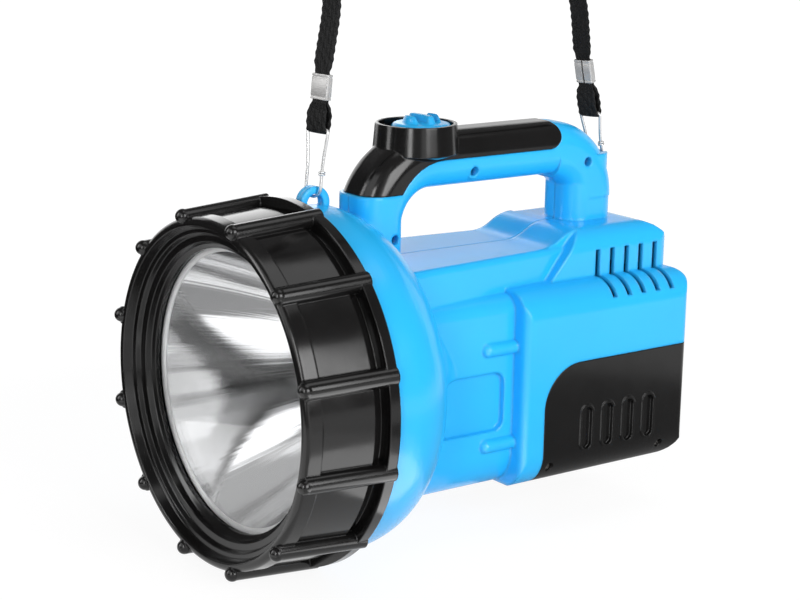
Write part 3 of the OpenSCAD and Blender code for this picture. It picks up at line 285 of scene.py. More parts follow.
def shade(colour: Colour, factor: float) -> Colour:
    """Return a colour made lighter or darker by a factor."""
    return tuple(min(1.0, c * factor) for c in colour)


@dataclass(frozen=True)
class Finish:
    """A finish whose tone, gloss and relief vary a little over the surface."""

    name: str
    colour: Colour
    roughness: float
    metallic: float = 0.0
    tone: float = 0.04
    gloss_spread: float = 0.05
    grain: Grain = Grain.PEEL
    grain_mm: float = 1.6
    grain_depth_mm: float = 0.01
    edge_mm: float = 0.8
    edge_samples: int = 6
    specular: float = 0.5
    coat: float = 0.0
    coat_roughness: float = 0.08
    least_roughness: float = 0.01
    cloud_scale: float = 24
    cloud_span: Pair = (0.35, 0.65)
    smear_scale: float = 70

    def settle(self, sketch: NodeSketch) -> None:
        """Set the sockets that are the same all over the surface.

        Args:
            sketch: Tree of the finish's material.
        """
        sketch.fill(sketch.shader, {
            "Metallic": self.metallic, "Specular IOR Level": self.specular,
            "Coat Weight": self.coat, "Coat Roughness": self.coat_roughness,
        })

    def relief(self, sketch: NodeSketch) -> None:
        """Feed the shader's normal with soft edges and the grain.

        Args:
            sketch: Tree of the finish's material.
        """
        detail, stretch = self.grain.value
        grain = sketch.noise(1 / (self.grain_mm * MM), detail, stretch)
        bump = sketch.bump(grain, "Fac", self.grain_depth_mm)
        if self.edge_mm > 0:
            edge = sketch.add("Bevel", {"Radius": self.edge_mm * MM}, samples=self.edge_samples)
            sketch.link(edge, "Normal", bump, "Normal")

    def tint(self, sketch: NodeSketch) -> None:
        """Feed the shader's colour and roughness with slow changes of tone.

        Args:
            sketch: Tree of the finish's material.
        """
        ends = (shade(self.colour, 1 + step) for step in (-self.tone, self.tone))
        sketch.tone(sketch.noise(self.cloud_scale, detail=4), "Fac", ends, self.cloud_span)
        smooth = max(self.least_roughness, self.roughness - self.gloss_spread)
        smears = sketch.noise(self.smear_scale, detail=5)
        sketch.gloss(smears, smooth, self.roughness + self.gloss_spread)

    @functools.cache
    def material(self) -> Material:
        """Make this finish's material on its first use.

        Returns:
            The material, the same one on each call.
        """
        material = bpy.data.materials.new(self.name)
        sketch = NodeSketch(material, "BsdfPrincipled")
        self.settle(sketch)
        self.tint(sketch)
        self.relief(sketch)
        return material


@dataclass(frozen=True)
class ClearLens(Finish):
    """Clear polished lens with a trace of haze."""

    ior: float = 1.4

    def settle(self, sketch: NodeSketch) -> None:
        """Let light through."""
        super().settle(sketch)
        sketch.fill(sketch.shader, {"Transmission Weight": 1.0, "IOR": self.ior})


@dataclass(frozen=True)
class MirrorCoat(Finish):
    """Bright coat of the bowl, with faint streaks that run from its rim to its middle."""

    streaks: float = 15.0
    streak_detail: float = 5.0
    streak_roughness: float = 0.6
    streak_depth_mm: float = 0.1

    def relief(self, sketch: NodeSketch) -> None:
        """Raise the streaks by the direction from the lamp axis.

        Args:
            sketch: Tree of the finish's material.
        """
        axis = LAMP.at(0, 0, 0)
        where = sketch.add("TexCoord")
        flat = sketch.add("Mapping", {"Location": (-axis.x, 0, -axis.z), "Scale": (1, 0, 1)})
        way = sketch.add("VectorMath", operation="NORMALIZE")
        noise = sketch.add("TexNoise", {
            "Scale": self.streaks, "Detail": self.streak_detail, "Roughness": self.streak_roughness,
        })
        sketch.link(where, "Object", flat, "Vector")
        sketch.link(flat, "Vector", way, 0)
        sketch.link(way, 0, noise, "Vector")
        sketch.bump(noise, "Fac", self.streak_depth_mm)


@dataclass(frozen=True)
class Webbing(Finish):
    """Plaited webbing: columns of strands that pass over and under each other.

    It reads the band's own map, whose first value runs across the band and whose second runs along
    it in band widths.
    """

    columns: int = 5
    rows_per_width: float = 2.3
    column_step: float = 0.5
    strand_lean: float = 0.6
    strand_swell: float = 0.4
    fibre_scale: float = 2600
    fibre_stretch: Triple = (1, 1, 0.25)
    fibre_tint: float = 0.5
    fibre_lift: float = 0.25
    # Colour factors at the plait's valleys and crowns: painted shade and painted highlight.
    valley_painted_shade: float = 0.35
    crown_painted_highlight: float = 2.2
    tint_span: Pair = (0.2, 1.2)
    sheen: float = 0.02
    sheen_roughness: float = 0.5

    def plait(self, sketch: NodeSketch) -> Node:
        """Add the plait's height.

        Args:
            sketch: Tree that takes the nodes.

        Returns:
            A node whose value is the height, from 0 to 1.
        """
        where = sketch.add("UVMap", uv_map="weave")
        split = sketch.add("SeparateXYZ")
        sketch.link(where, "UV", split, "Vector")
        across = sketch.maths("MULTIPLY", (split, "X"), float(self.columns))
        inside = sketch.maths("FRACT", across)
        hump = sketch.maths("SINE", sketch.maths("MULTIPLY", inside, math.pi))
        along = sketch.maths("MULTIPLY", (split, "Y"), self.rows_per_width)
        lean = sketch.maths("MULTIPLY", inside, self.strand_lean)
        step = sketch.maths("MULTIPLY", sketch.maths("FLOOR", across), self.column_step)
        phase = sketch.maths("ADD", sketch.maths("ADD", along, step), lean)
        turn = sketch.maths("SINE", sketch.maths("MULTIPLY", phase, 2 * math.pi))
        swell = sketch.maths("MULTIPLY_ADD", turn, self.strand_swell, 1 - self.strand_swell)
        return sketch.maths("MULTIPLY", hump, swell)

    def tint(self, sketch: NodeSketch) -> None:
        """Paint shade into the plait's valleys and a highlight onto its crowns; the fibres add
        random tone.

        Args:
            sketch: Tree of the finish's material.
        """
        plait = self.plait(sketch)
        fibres = sketch.noise(self.fibre_scale, detail=3, stretch=self.fibre_stretch)
        mixed = sketch.maths("MULTIPLY_ADD", fibres, self.fibre_tint, plait)
        # Painted shade in the valleys and painted highlight on the crowns, with the fibres' random
        # tone mixed in.
        ends = (shade(self.colour, tone) for tone in (self.valley_painted_shade, self.crown_painted_highlight))
        sketch.tone(mixed, 0, ends, self.tint_span)
        sketch.gloss(fibres, self.roughness - self.gloss_spread, self.roughness)

    def relief(self, sketch: NodeSketch) -> None:
        """Raise the strands.

        Args:
            sketch: Tree of the finish's material.
        """
        plait = self.plait(sketch)
        fibres = sketch.noise(self.fibre_scale, detail=2, stretch=self.fibre_stretch)
        height = sketch.maths("MULTIPLY_ADD", fibres, self.fibre_lift, plait)
        sketch.bump(height, 0, self.grain_depth_mm)

    def settle(self, sketch: NodeSketch) -> None:
        """Give the fibres a faint sheen.

        Args:
            sketch: Tree of the finish's material.
        """
        super().settle(sketch)
        sketch.fill(
            sketch.shader, {"Sheen Weight": self.sheen, "Sheen Roughness": self.sheen_roughness}
        )


BLUE = Finish(
    "gloss_blue", (0.02, 0.46, 0.91), 0.22, tone=0.015, gloss_spread=0.03, grain_depth_mm=0.004,
    edge_mm=2.4,
)
BLACK = Finish(
    "gloss_black", (0.005, 0.0047, 0.0047), 0.15, tone=0.2, gloss_spread=0.03, grain_depth_mm=0.004,
    edge_mm=0.9, specular=0.4,
)
SATIN_BLACK = Finish(
    "satin_black", (0.012, 0.012, 0.0125), 0.42, tone=0.2, grain=Grain.SPECKLED, edge_mm=0.5
)
SEAL_RUBBER = Finish(
    "seal_rubber", (0.02, 0.02, 0.02), 0.75, tone=0.2, grain=Grain.SPECKLED, edge_mm=0.3
)
MIRROR = MirrorCoat(
    "bowl_mirror", (0.96, 0.96, 0.965), 0.04, metallic=0.95, tone=0.01, gloss_spread=0.02
)
RIM_SATIN = Finish(
    "satin_rim", (0.97, 0.97, 0.975), 0.42, metallic=0.6, tone=0.03, grain=Grain.SPECKLED, edge_mm=0
)
LENS = ClearLens(
    "polished_lens", (0.99, 0.995, 1.0), 0.012, tone=0.004, gloss_spread=0.008, grain_depth_mm=0,
    edge_mm=0,
)
STEEL = Finish(
    "plated_steel", (0.3, 0.29, 0.28), 0.36, metallic=1, tone=0.1, grain=Grain.BRUSHED,
    grain_mm=0.6, edge_mm=0.15,
)
BRIGHT_WIRE = Finish(
    "bright_wire", (0.7, 0.7, 0.7), 0.28, metallic=0.8, tone=0.06, grain=Grain.BRUSHED,
    grain_mm=0.5, grain_depth_mm=0.004, edge_mm=0,
)
CRIMP_SHEET = Finish(
    "crimp_sheet", (0.46, 0.455, 0.45), 0.45, metallic=0.35, tone=0.05, grain=Grain.BRUSHED,
    grain_mm=0.7, grain_depth_mm=0.008, edge_mm=0.2,
)
SINK_METAL = Finish(
    "cast_sink", (0.66, 0.67, 0.69), 0.42, metallic=1, tone=0.06, grain=Grain.BRUSHED, grain_mm=0.8,
    edge_mm=0.3,
)
WHITE_BOARD = Finish("board_white", (0.82, 0.82, 0.79), 0.5, grain=Grain.SPECKLED, edge_mm=0.2)
LED_DOME = Finish("dome_resin", (0.9, 0.72, 0.14), 0.12, tone=0.06, edge_mm=0.2, coat=1.0)
CIRCUIT_GREEN = Finish(
    "circuit_green", (0.02, 0.2, 0.07), 0.35, tone=0.15, grain=Grain.SPECKLED, edge_mm=0.2
)
CELL_WRAP = Finish("cell_sleeve", (0.06, 0.36, 0.16), 0.25, tone=0.06, edge_mm=0.4)
WEBBING = Webbing(
    "plaited_strap", (0.0035, 0.0035, 0.0037), 0.7, gloss_spread=0.15, grain_depth_mm=0.55,
    specular=0.22,
)


class MeshSketch:
    """Points, faces and map of one mesh, gathered ring by ring."""

    def __init__(self) -> None:
        """Start with no points."""
        self.points: list[Vector] = []
        self.faces: list[list[int]] = []
        self.map: list[Pair] = []

    def ring(self, points: Sequence[Vector], mapped: Sequence[Pair] | None = None) -> list[int]:
        """Add a ring of points.

        Args:
            points: The ring's points, in the row frame.
            mapped: Their map values, one for each point.

        Returns:
            The points' numbers.
        """
        start = len(self.points)
        self.points.extend(points)
        self.map.extend(mapped or [(0.0, 0.0)] * len(points))
        return list(range(start, len(self.points)))

    def level(self, place: Matrix, outline: Sequence[Pair], height: float) -> list[int]:
        """Add a ring that lies level in a frame, at a height in millimetres."""
        return self.ring([place @ (Vector((u, v, height)) * MM) for u, v in outline])

    def skin(self, rings: Sequence[list[int]], closed: bool = False) -> None:
        """Join each ring to the next by quads.

        Args:
            rings: Rings of the same count of points.
            closed: Whether the last ring joins the first.
        """
        pairs = list(zip(rings, rings[1:]))
        if closed:
            pairs.append((rings[-1], rings[0]))
        for a, b in pairs:
            count = len(a)
            for k in range(count):
                n = (k + 1) % count
                self.faces.append([a[k], a[n], b[n], b[k]])

    def cap(self, ring: list[int], flip: bool = False) -> None:
        """Close a ring with one face."""
        self.faces.append(list(reversed(ring)) if flip else list(ring))

    def fan(self, ring: list[int], tip: Vector) -> None:
        """Close a ring with triangles to a tip.

        Args:
            ring: Numbers of the ring's points.
            tip: The point that they meet in.
        """
        end = self.ring([tip])[0]
        for k, point in enumerate(ring):
            self.faces.append([point, ring[(k + 1) % len(ring)], end])

    def to_mesh(self, name: str, material: Material) -> Mesh:
        """Make the mesh.

        Args:
            name: Name of the mesh.
            material: Its one material.

        Returns:
            The new mesh.
        """
        mesh = bpy.data.meshes.new(name)
        mesh.from_pydata(self.points, [], self.faces)
        mesh.materials.append(material)
        return mesh

    def to_object(self, name: str, finish: Finish, body: Body, sharp_deg: float) -> Object:
        """Make the object, dressed and riding on its body.

        Args:
            name: Name of the piece.
            finish: Its finish.
            body: The body that it moves with.
            sharp_deg: Angle above which an edge stays sharp.

        Returns:
            The new object.
        """
        mesh = self.to_mesh(name, finish.material())
        weave = mesh.uv_layers.new(name="weave")
        for loop in mesh.loops:
            weave.data[loop.index].uv = self.map[loop.vertex_index]
        mesh.shade_smooth()
        mesh.set_sharp_from_angle(angle=math.radians(sharp_deg))
        piece = add_object(name, mesh)
        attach(piece, body.value)
        LOG.info("built %s in %s", name, finish.name)
        return piece


def dress(node: str, finish: Finish) -> None:
    """Give a solid of the frame its finish and smooth shading.

    Args:
        node: The solid's node.
        finish: Its finish.
    """
    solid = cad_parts[node]
    solid.data.shade_smooth()
    solid.data.set_sharp_from_angle(angle=math.radians(SOLID_SHARP_DEG))
    solid.data.materials.clear()
    solid.data.materials.append(finish.material())
    LOG.info("dressed %s in %s", node, finish.name)


def stand_for(piece: Object, node: str) -> Object:
    """Let a piece stand for a solid of the frame.

    Args:
        piece: The finer piece.
        node: The solid's node.

    Returns:
        The same piece.
    """
    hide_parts(node)
    return piece


def smooth_path(points: Sequence[Vector], step: float, closed: bool = False) -> list[Vector]:
    """Run a smooth curve through points.

    Args:
        points: Points that the curve passes through.
        step: Distance between the points of the result.
        closed: Whether the curve returns to its start.

    Returns:
        Points along the curve.
    """
    count = len(points)
    result: list[Vector] = []
    for k in range(count if closed else count - 1):
        if closed:
            p0, p1, p2, p3 = (points[(k + d) % count] for d in (-1, 0, 1, 2))
        else:
            p0, p1, p2, p3 = (points[min(max(k + d, 0), count - 1)] for d in (-1, 0, 1, 2))
        parts = max(1, round((p2 - p1).length / step))
        for i in range(parts):
            t = i / parts
            result.append(
                0.5 * (
                    2 * p1 + (p2 - p0) * t + (2 * p0 - 5 * p1 + 4 * p2 - p3) * t * t
                    + (3 * p1 - p0 - 3 * p2 + p3) * t * t * t
                )
            )
    if not closed:
        result.append(points[-1].copy())
    return result


def path_length(path: Sequence[Vector]) -> float:
    """Return the length of a path."""
    return sum((b - a).length for a, b in zip(path, path[1:]))


def sweep(
    sketch: MeshSketch, path: Sequence[Vector], side: Vector,
    outline: Callable[[float], list[Pair]], closed: bool = False,
    twist: Callable[[float], float] | None = None,
) -> None:
    """Sweep an outline along a path that lies square to a fixed direction.

    Args:
        sketch: Mesh that takes the faces.
        path: Points of the path.
        side: The fixed direction.
        outline: Gives the outline, as distances along side and off the path, at a length.
        closed: Whether the path returns to its start.
        twist: Gives the outline's turn about the path, in radians, at a length.
    """
    rings, run = [], 0.0
    count = len(path)
    for k, point in enumerate(path):
        before = path[k - 1] if closed or k else point
        after = path[(k + 1) % count] if closed or k < count - 1 else point
        ahead = (after - before).normalized()
        across = Matrix.Rotation(twist(run), 3, ahead) @ side if twist else side
        out = ahead.cross(across)
        shape = outline(run)
        wide = max(abs(u) for u, _ in shape)
        rings.append(sketch.ring(
            [point + across * u + out * v for u, v in shape],
            [(0.5 + 0.5 * u / wide, run / (2 * wide)) for u, _ in shape],
        ))
        if k < count - 1:
            run += (path[k + 1] - point).length
    sketch.skin(rings, closed)
    if not closed:
        sketch.cap(rings[0], flip=True)
        sketch.cap(rings[-1])


def lathe(sketch: MeshSketch, profile: Sequence[Pair], segments: int) -> None:
    """Turn a closed profile about the lamp axis.

    Args:
        sketch: Mesh that takes the faces.
        profile: Radius and distance behind the ball centres of each point, in millimetres.
        segments: Count of steps round the axis.
    """
    sketch.skin([
        sketch.ring([LAMP.at(r * c, y, -r * s) for r, y in profile]) for c, s in circle(1, segments)
    ], closed=True)


def relief_disc(
    sketch: MeshSketch, place: Matrix, radii: Sequence[float], segments: int,
    height: Callable[[float, float], float],
) -> list[int]:
    """Make a disc with a relief on its upper face.

    Args:
        sketch: Mesh that takes the faces.
        place: Frame of the disc, in metres.
        radii: Radii of its rings from the rim inwards, in millimetres.
        segments: Count of steps round it.
        height: Gives the height at a place on the disc, in millimetres.

    Returns:
        The points of the rim.
    """
    rings = [
        sketch.ring([place @ (Vector((u, v, height(u, v))) * MM) for u, v in circle(r, segments)])
        for r in radii
    ]
    sketch.skin(rings)
    sketch.fan(rings[-1], place @ (Vector((0, 0, height(0, 0))) * MM))
    return rings[0]


def ease(low: float, high: float, value: float) -> float:
    """Return a smooth step from 0 at low to 1 at high."""
    t = min(1.0, max(0.0, (value - low) / (high - low)))
    return t * t * (3 - 2 * t)


@dataclass
class StrapEnd:
    """One end of the strap: a wire hook, a folded webbing loop and a crimp.

    The end has a frame of its own: its origin is where the hook hangs, and its Z runs up the strap.
    """

    name: str
    hang_y: float
    hang_z: float
    lean_deg: float
    turn_deg: float
    hook_h: float
    loop_h: float
    seam_side: int
    wire_r: float = 0.8
    wire_sides: int = 12
    bend_r: float = 4.8
    bar_half: float = 6.55
    bar_corner: float = 1.35
    leg_flare: float = 0.4
    leg_bends: Pair = (0.4, 0.6)
    eye_r: float = 1.35
    eye_steps: int = 18
    eye_wire_r: float = 0.5
    eye_wire_sides: int = 8
    eye_lift: float = 0.55
    eye_share: float = 0.36
    loop_w: float = 12.6
    loop_t: float = 1.4
    loop_swell: float = 0.5
    loop_gap: float = 0.1
    loop_share: float = 0.35
    loop_neck: float = 0.8
    loop_step: float = 0.5
    crimp_h: float = 12.5
    crimp_t: float = 0.5
    crimp_w: float = 10.8
    crimp_lap: float = 1.0
    crimp_squeeze: float = 1.6
    crimp_corner: float = 0.7
    crimp_edge: tuple[Pair, ...] = (
        (0, -0.1), (0.25, 0), (0.9, 0), (1.15, -0.16), (1.6, -0.16), (1.85, 0)
    )
    seam_half: float = 0.6
    seam_depth: float = 1.0
    seam_taper: float = 0.6
    place: Matrix = field(init=False)
    crimp_low: float = field(init=False)

    def __post_init__(self) -> None:
        """Work out the end's frame."""
        lean = Matrix.Rotation(math.radians(-self.lean_deg), 4, "X")
        turn = Matrix.Rotation(math.radians(self.turn_deg), 4, "Z")
        self.place = Matrix.Translation(LAMP.at(0, self.hang_y, self.hang_z)) @ lean @ turn
        self.crimp_low = self.hook_h + self.loop_h

    def at(self, x: float, y: float, z: float) -> Vector:
        """Return a point of the end's frame, given in millimetres, in the row frame."""
        return self.place @ (Vector((x, y, z)) * MM)

    def way(self, x: float, y: float, z: float) -> Vector:
        """Return a direction of the end's frame in the row frame."""
        return self.place.to_3x3() @ Vector((x, y, z))

    def band(self, width: float, thickness: float, length: float) -> "Band":
        """Describe a webbing whose two ends such crimps hold.

        Args:
            width: Its width, in millimetres.
            thickness: Its thickness, in millimetres.
            length: Its length, in metres.

        Returns:
            The band, which gives its outline at a length.
        """
        held = (self.crimp_h / 2 + self.crimp_lap) * MM
        share = (self.crimp_w - self.crimp_squeeze) / width
        return Band(width / 2, thickness / 2, length, share, held)

    def hook(self) -> Object:
        """Build the wire hook with the eye of its gate.

        Returns:
            The hook.
        """
        h, b, w, c, f = self.hook_h, self.bend_r, self.bar_half, self.bar_corner, self.leg_flare
        low, high = (h * share for share in self.leg_bends)
        bend = [(u, b + v) for u, v in arc(b, range(180, 361, 20))]
        rise = [(b, low), (b + f, high), (w, h - c), (w - f, h - f), (w - c, h)]
        outline = bend + rise + [(0, h)] + [(-x, z) for x, z in reversed(rise)]
        path = smooth_path([self.at(x, 0, z) for x, z in outline], self.wire_r * MM, closed=True)
        wire = circle(self.wire_r * MM, self.wire_sides)
        sketch = MeshSketch()
        sweep(sketch, path, self.way(0, 1, 0), lambda run: wire, closed=True)
        self.eye(sketch)
        piece = sketch.to_object(f"{self.name}_wire_hook", BRIGHT_WIRE, Body.LAMP, sharp_deg=60)
        return stand_for(piece, f"{self.name}_hook")

    def eye(self, sketch: MeshSketch) -> None:
        """Add the small eye that closes the hook's gate.

        Args:
            sketch: Mesh that takes the faces.
        """
        wire = circle(self.eye_wire_r * MM, self.eye_wire_sides)
        for lift in (-self.eye_lift, self.eye_lift):
            height = self.eye_share * self.hook_h + lift
            turn = [
                self.at(self.bend_r + u, v, height) for u, v in circle(self.eye_r, self.eye_steps)
            ]
            sweep(sketch, turn, self.way(0, 0, 1), lambda run: wire, closed=True)

    def loop(self) -> Object:
        """Build the webbing that is folded round the hook's bar.

        Returns:
            The folded loop.
        """
        mid = self.wire_r + self.loop_gap + self.loop_t / 2
        near = (self.loop_t + self.loop_gap) / 2
        swell = mid + self.loop_swell
        bulge = self.loop_share * self.loop_h
        leg = [
            (near, self.crimp_low + self.crimp_h / 2), (near, self.crimp_low),
            (swell * self.loop_neck, self.crimp_low - bulge), (swell, self.hook_h + bulge),
            (mid + self.loop_gap, self.hook_h),
        ]
        fold = [(u, self.hook_h + v) for u, v in arc(mid, range(-30, -151, -30))]
        outline = leg + fold + [(-y, z) for y, z in reversed(leg)]
        path = smooth_path([self.at(0, y, z) for y, z in outline], self.loop_step * MM)
        sketch = MeshSketch()
        band = self.band(self.loop_w, self.loop_t, path_length(path))
        sweep(sketch, path, self.way(1, 0, 0), band.outline)
        piece = sketch.to_object(f"{self.name}_folded_loop", WEBBING, Body.LAMP, sharp_deg=70)
        return stand_for(piece, f"{self.name}_loop")

    def crimp(self) -> Object:
        """Build the pressed crimp, with turned edges, two pressed lines and its seam.

        Returns:
            The crimp.
        """
        low_end = [(0, -self.crimp_t), *self.crimp_edge]
        levels = low_end + [(self.crimp_h - z, grow) for z, grow in reversed(low_end)]
        sketch = MeshSketch()
        rings = []
        for z, grow in levels:
            half_t = self.loop_t + self.loop_gap + self.crimp_t + grow
            outline = self.corner_outline(self.crimp_w / 2 + grow, half_t, self.crimp_corner)
            rings.append(sketch.level(self.place, self.seamed(outline, half_t), self.crimp_low + z))
        sketch.skin(rings, closed=True)
        piece = sketch.to_object(f"{self.name}_pressed_crimp", CRIMP_SHEET, Body.LAMP, sharp_deg=35)
        return stand_for(piece, f"{self.name}_crimp")

    def seamed(self, outline: list[Pair], half_t: float) -> list[Pair]:
        """Let the seam into one flat face of the crimp's outline.

        Args:
            outline: The crimp's outline.
            half_t: Half of its thickness.

        Returns:
            The outline with the seam's groove.
        """
        side, top, low = self.seam_side, self.seam_half, self.seam_half * self.seam_taper
        floor = half_t - self.seam_depth
        groove = [(top, half_t), (low, floor), (-low, floor), (-top, half_t)]
        at = len(outline) // 4 if side > 0 else 3 * len(outline) // 4
        return outline[:at] + [(side * x, side * y) for x, y in groove] + outline[at:]

    @staticmethod
    def corner_outline(half_w: float, half_t: float, radius: float) -> list[Pair]:
        """Return a rectangle with round corners.

        Args:
            half_w: Half of its width.
            half_t: Half of its thickness.
            radius: Radius of its corners.

        Returns:
            Its points, counter-clockwise.
        """
        return [
            (sx * (half_w - radius) + u, sy * (half_t - radius) + v)
            for start, sx, sy in ((0, 1, 1), (90, -1, 1), (180, -1, -1), (270, 1, -1))
            for u, v in arc(radius, range(start, start + 91, 18))
        ]

    def build(self) -> list[Object]:
        """Build the hook, the loop and the crimp."""
        return [self.hook(), self.loop(), self.crimp()]


@dataclass
class Band:
    """Outline of a flat plaited band whose edges swell with each plait."""

    half_w: float
    half_t: float
    length: float
    held_share: float
    held: float
    wave: float = 0.045
    pitch: float = 4.3
    flare: float = 0.005
    edge_power: float = 0.6
    face_power: float = 0.8
    sides: int = 20

    def spread(self, run: float) -> float:
        """Return the share of the full width at a length: less where a crimp holds the band."""
        reach = min(run, self.length - run) - self.held
        return self.held_share + (1 - self.held_share) * ease(0, self.flare, reach)

    def outline(self, run: float) -> list[Pair]:
        """Return the band's outline at a length along it.

        Args:
            run: Length along the band, in metres.

        Returns:
            The outline's points, in metres.
        """
        points = []
        for c, s in circle(1, self.sides):
            phase = 2 * math.pi * run / (self.pitch * MM) + (math.pi if c < 0 else 0)
            half_w = self.half_w * self.spread(run) * (1 + self.wave * math.sin(phase))
            u = math.copysign(abs(c) ** self.edge_power, c) * half_w
            v = math.copysign(abs(s) ** self.face_power, s) * self.half_t
            points.append((u * MM, v * MM))
        return points


@dataclass
class Strap:
    """Carrying strap: plaited webbing between two hooked ends."""

    width: float = 11.8
    thickness: float = 2.4
    step: float = 0.7
    straight: float = 12.0
    turn_fade: Pair = (0.1, 0.16)
    front: StrapEnd = field(default_factory=lambda: StrapEnd(
        "front", 60.5, 92.8, 5.0, 14.0, hook_h=33.5, loop_h=14.4, seam_side=1
    ))
    rear: StrapEnd = field(default_factory=lambda: StrapEnd(
        "rear", 247.16, 95.61, -12.5, 10.0, hook_h=26.8, loop_h=17.2, seam_side=-1
    ))
    arch: tuple[Pair, ...] = (
        (70, 180), (71, 192), (73.5, 206), (79, 222), (88, 238), (101, 252), (117, 263), (135, 270),
        (153, 271.5), (171, 268.5), (187, 261), (201, 249.5), (212, 235), (220, 218), (224.8, 202),
        (228, 188), (231, 175),
    )

    def route(self) -> list[Vector]:
        """Lay out the webbing's route from crimp to crimp.

        Returns:
            Points that the webbing passes through.
        """
        first, last = (
            [end.at(0, 0, end.crimp_low + end.crimp_h / 2 + rise) for rise in (0, self.straight)]
            for end in (self.front, self.rear)
        )
        return [*first, *(LAMP.at(0, y, z) for y, z in self.arch), *reversed(last)]

    def twist(self, run: float, length: float) -> float:
        """Return the webbing's turn about its route, which fades between the two ends.

        Args:
            run: Length along the route, in metres.
            length: Length of the whole route, in metres.

        Returns:
            The turn, in radians.
        """
        near, far = self.turn_fade
        front = self.front.turn_deg * (1 - ease(near, far, run))
        rear = self.rear.turn_deg * ease(length - far, length - near, run)
        return math.radians(front - rear)

    def build(self) -> None:
        ends = self.front.build() + self.rear.build()
        path = smooth_path(self.route(), self.step * MM)
        length = path_length(path)
        band = self.front.band(self.width, self.thickness, length)
        sketch = MeshSketch()
        sweep(
            sketch, path, Vector((1, 0, 0)), band.outline, twist=lambda run: self.twist(run, length)
        )
        webbing = sketch.to_object("plaited_strap", WEBBING, Body.LAMP, sharp_deg=70)
        stand_for(webbing, "strap_webbing")


class SubAssembly:
    """Pieces that belong together: dressed solids, and finer pieces that stand for others."""

    solids: ClassVar[dict[str, Finish]]

    def shape(self) -> None:
        """Build the finer pieces, where there are any."""

    def build(self) -> None:
        """Build the finer pieces and dress the solids."""
        self.shape()
        for node, finish in self.solids.items():
            dress(node, finish)


@dataclass
class Head(SubAssembly):
    """Bezel, lens, gasket, mirror bowl and light source."""

    solids: ClassVar[dict[str, Finish]] = {
        "bezel_ring": BLACK, "lens": LENS, "lens_gasket": SEAL_RUBBER, "led_board": WHITE_BOARD,
        "led_emitter": LED_DOME, "heat_sink": SINK_METAL,
    }
    bowl_r: float = 69.8
    bowl_front: float = 17.2
    bowl_depth: float = 94.5
    bowl_wall: float = 2.0
    bowl_hole_r: float = 9.0
    bowl_inset: float = 0.6
    rim_r: float = 71.4
    rim_w: float = 2.8
    rim_h: float = 0.9
    rim_front: float = -0.1
    rim_back: float = 0.5
    nose_r: float = 0.4
    nose_land: float = 0.5
    nose_sides: Pair = (-0.25, 0.85)
    boss_r: float = 17.0
    boss_back: float = 115.3
    flange_r: float = 80.8
    flange_front: float = 18.4
    flange_back: float = 20.4
    flange_step: float = 1.0
    back_inset: float = 2.5
    back_steps: int = 16
    bowl_steps: int = 96
    segments: int = 192

    def bowl_y(self, r: float) -> float:
        """Return how far behind the ball centres the mirror lies at a radius."""
        return self.bowl_front + self.bowl_depth * (1 - (r / self.bowl_r) ** 2)

    def behind(self, r: float) -> Pair:
        """Find the bowl's back, a wall's thickness behind its face.

        Args:
            r: Radius on the face, in millimetres.

        Returns:
            The back's radius and distance behind the ball centres.
        """
        slope = 2 * self.bowl_depth * r / self.bowl_r ** 2
        reach = self.bowl_wall / math.hypot(1, slope)
        return r + slope * reach, self.bowl_y(r) + reach

    def bowl(self) -> None:
        """Build the mirror bowl with its flange and its boss."""
        face_span = self.bowl_r - self.bowl_hole_r
        back_span = self.bowl_r - self.back_inset - self.boss_r
        face = [self.bowl_r - face_span * k / self.bowl_steps for k in range(self.bowl_steps + 1)]
        back = [self.boss_r + back_span * k / self.back_steps for k in range(self.back_steps + 1)]
        profile = [
            (self.rim_r, self.flange_front), (self.rim_r, self.bowl_front + self.bowl_inset),
            *((r, self.bowl_y(r) + self.bowl_inset) for r in face),
            (self.bowl_hole_r, self.boss_back), (self.boss_r, self.boss_back),
            *(self.behind(r) for r in back),
            (self.rim_r + self.flange_step, self.flange_back),
            (self.flange_r, self.flange_back), (self.flange_r, self.flange_front),
        ]
        sketch = MeshSketch()
        lathe(sketch, profile, self.segments)
        bowl = sketch.to_object("mirror_bowl", MIRROR, Body.LAMP, sharp_deg=30)
        stand_for(bowl, "reflector")

    def rim(self) -> None:
        """Build the bright satin bead round the bowl's mouth."""
        inner, back = self.rim_r - self.rim_w, self.bowl_front + self.rim_h
        front_side, back_side = self.nose_sides
        nose = arc(self.nose_r, range(18, 180, 18))
        profile = [
            (self.rim_r, self.bowl_front + self.rim_front),
            (inner + self.nose_land, back + front_side),
            *((inner + self.nose_r - v, back + self.nose_r - u) for u, v in nose),
            (inner + self.nose_land, back + back_side),
            (self.rim_r, self.bowl_front + self.rim_back),
        ]
        sketch = MeshSketch()
        lathe(sketch, profile, self.segments)
        bead = sketch.to_object("bowl_rim_bead", RIM_SATIN, Body.LAMP, sharp_deg=50)

    def shape(self) -> None:
        """Build the bowl and its rim."""
        self.bowl()
        self.rim()


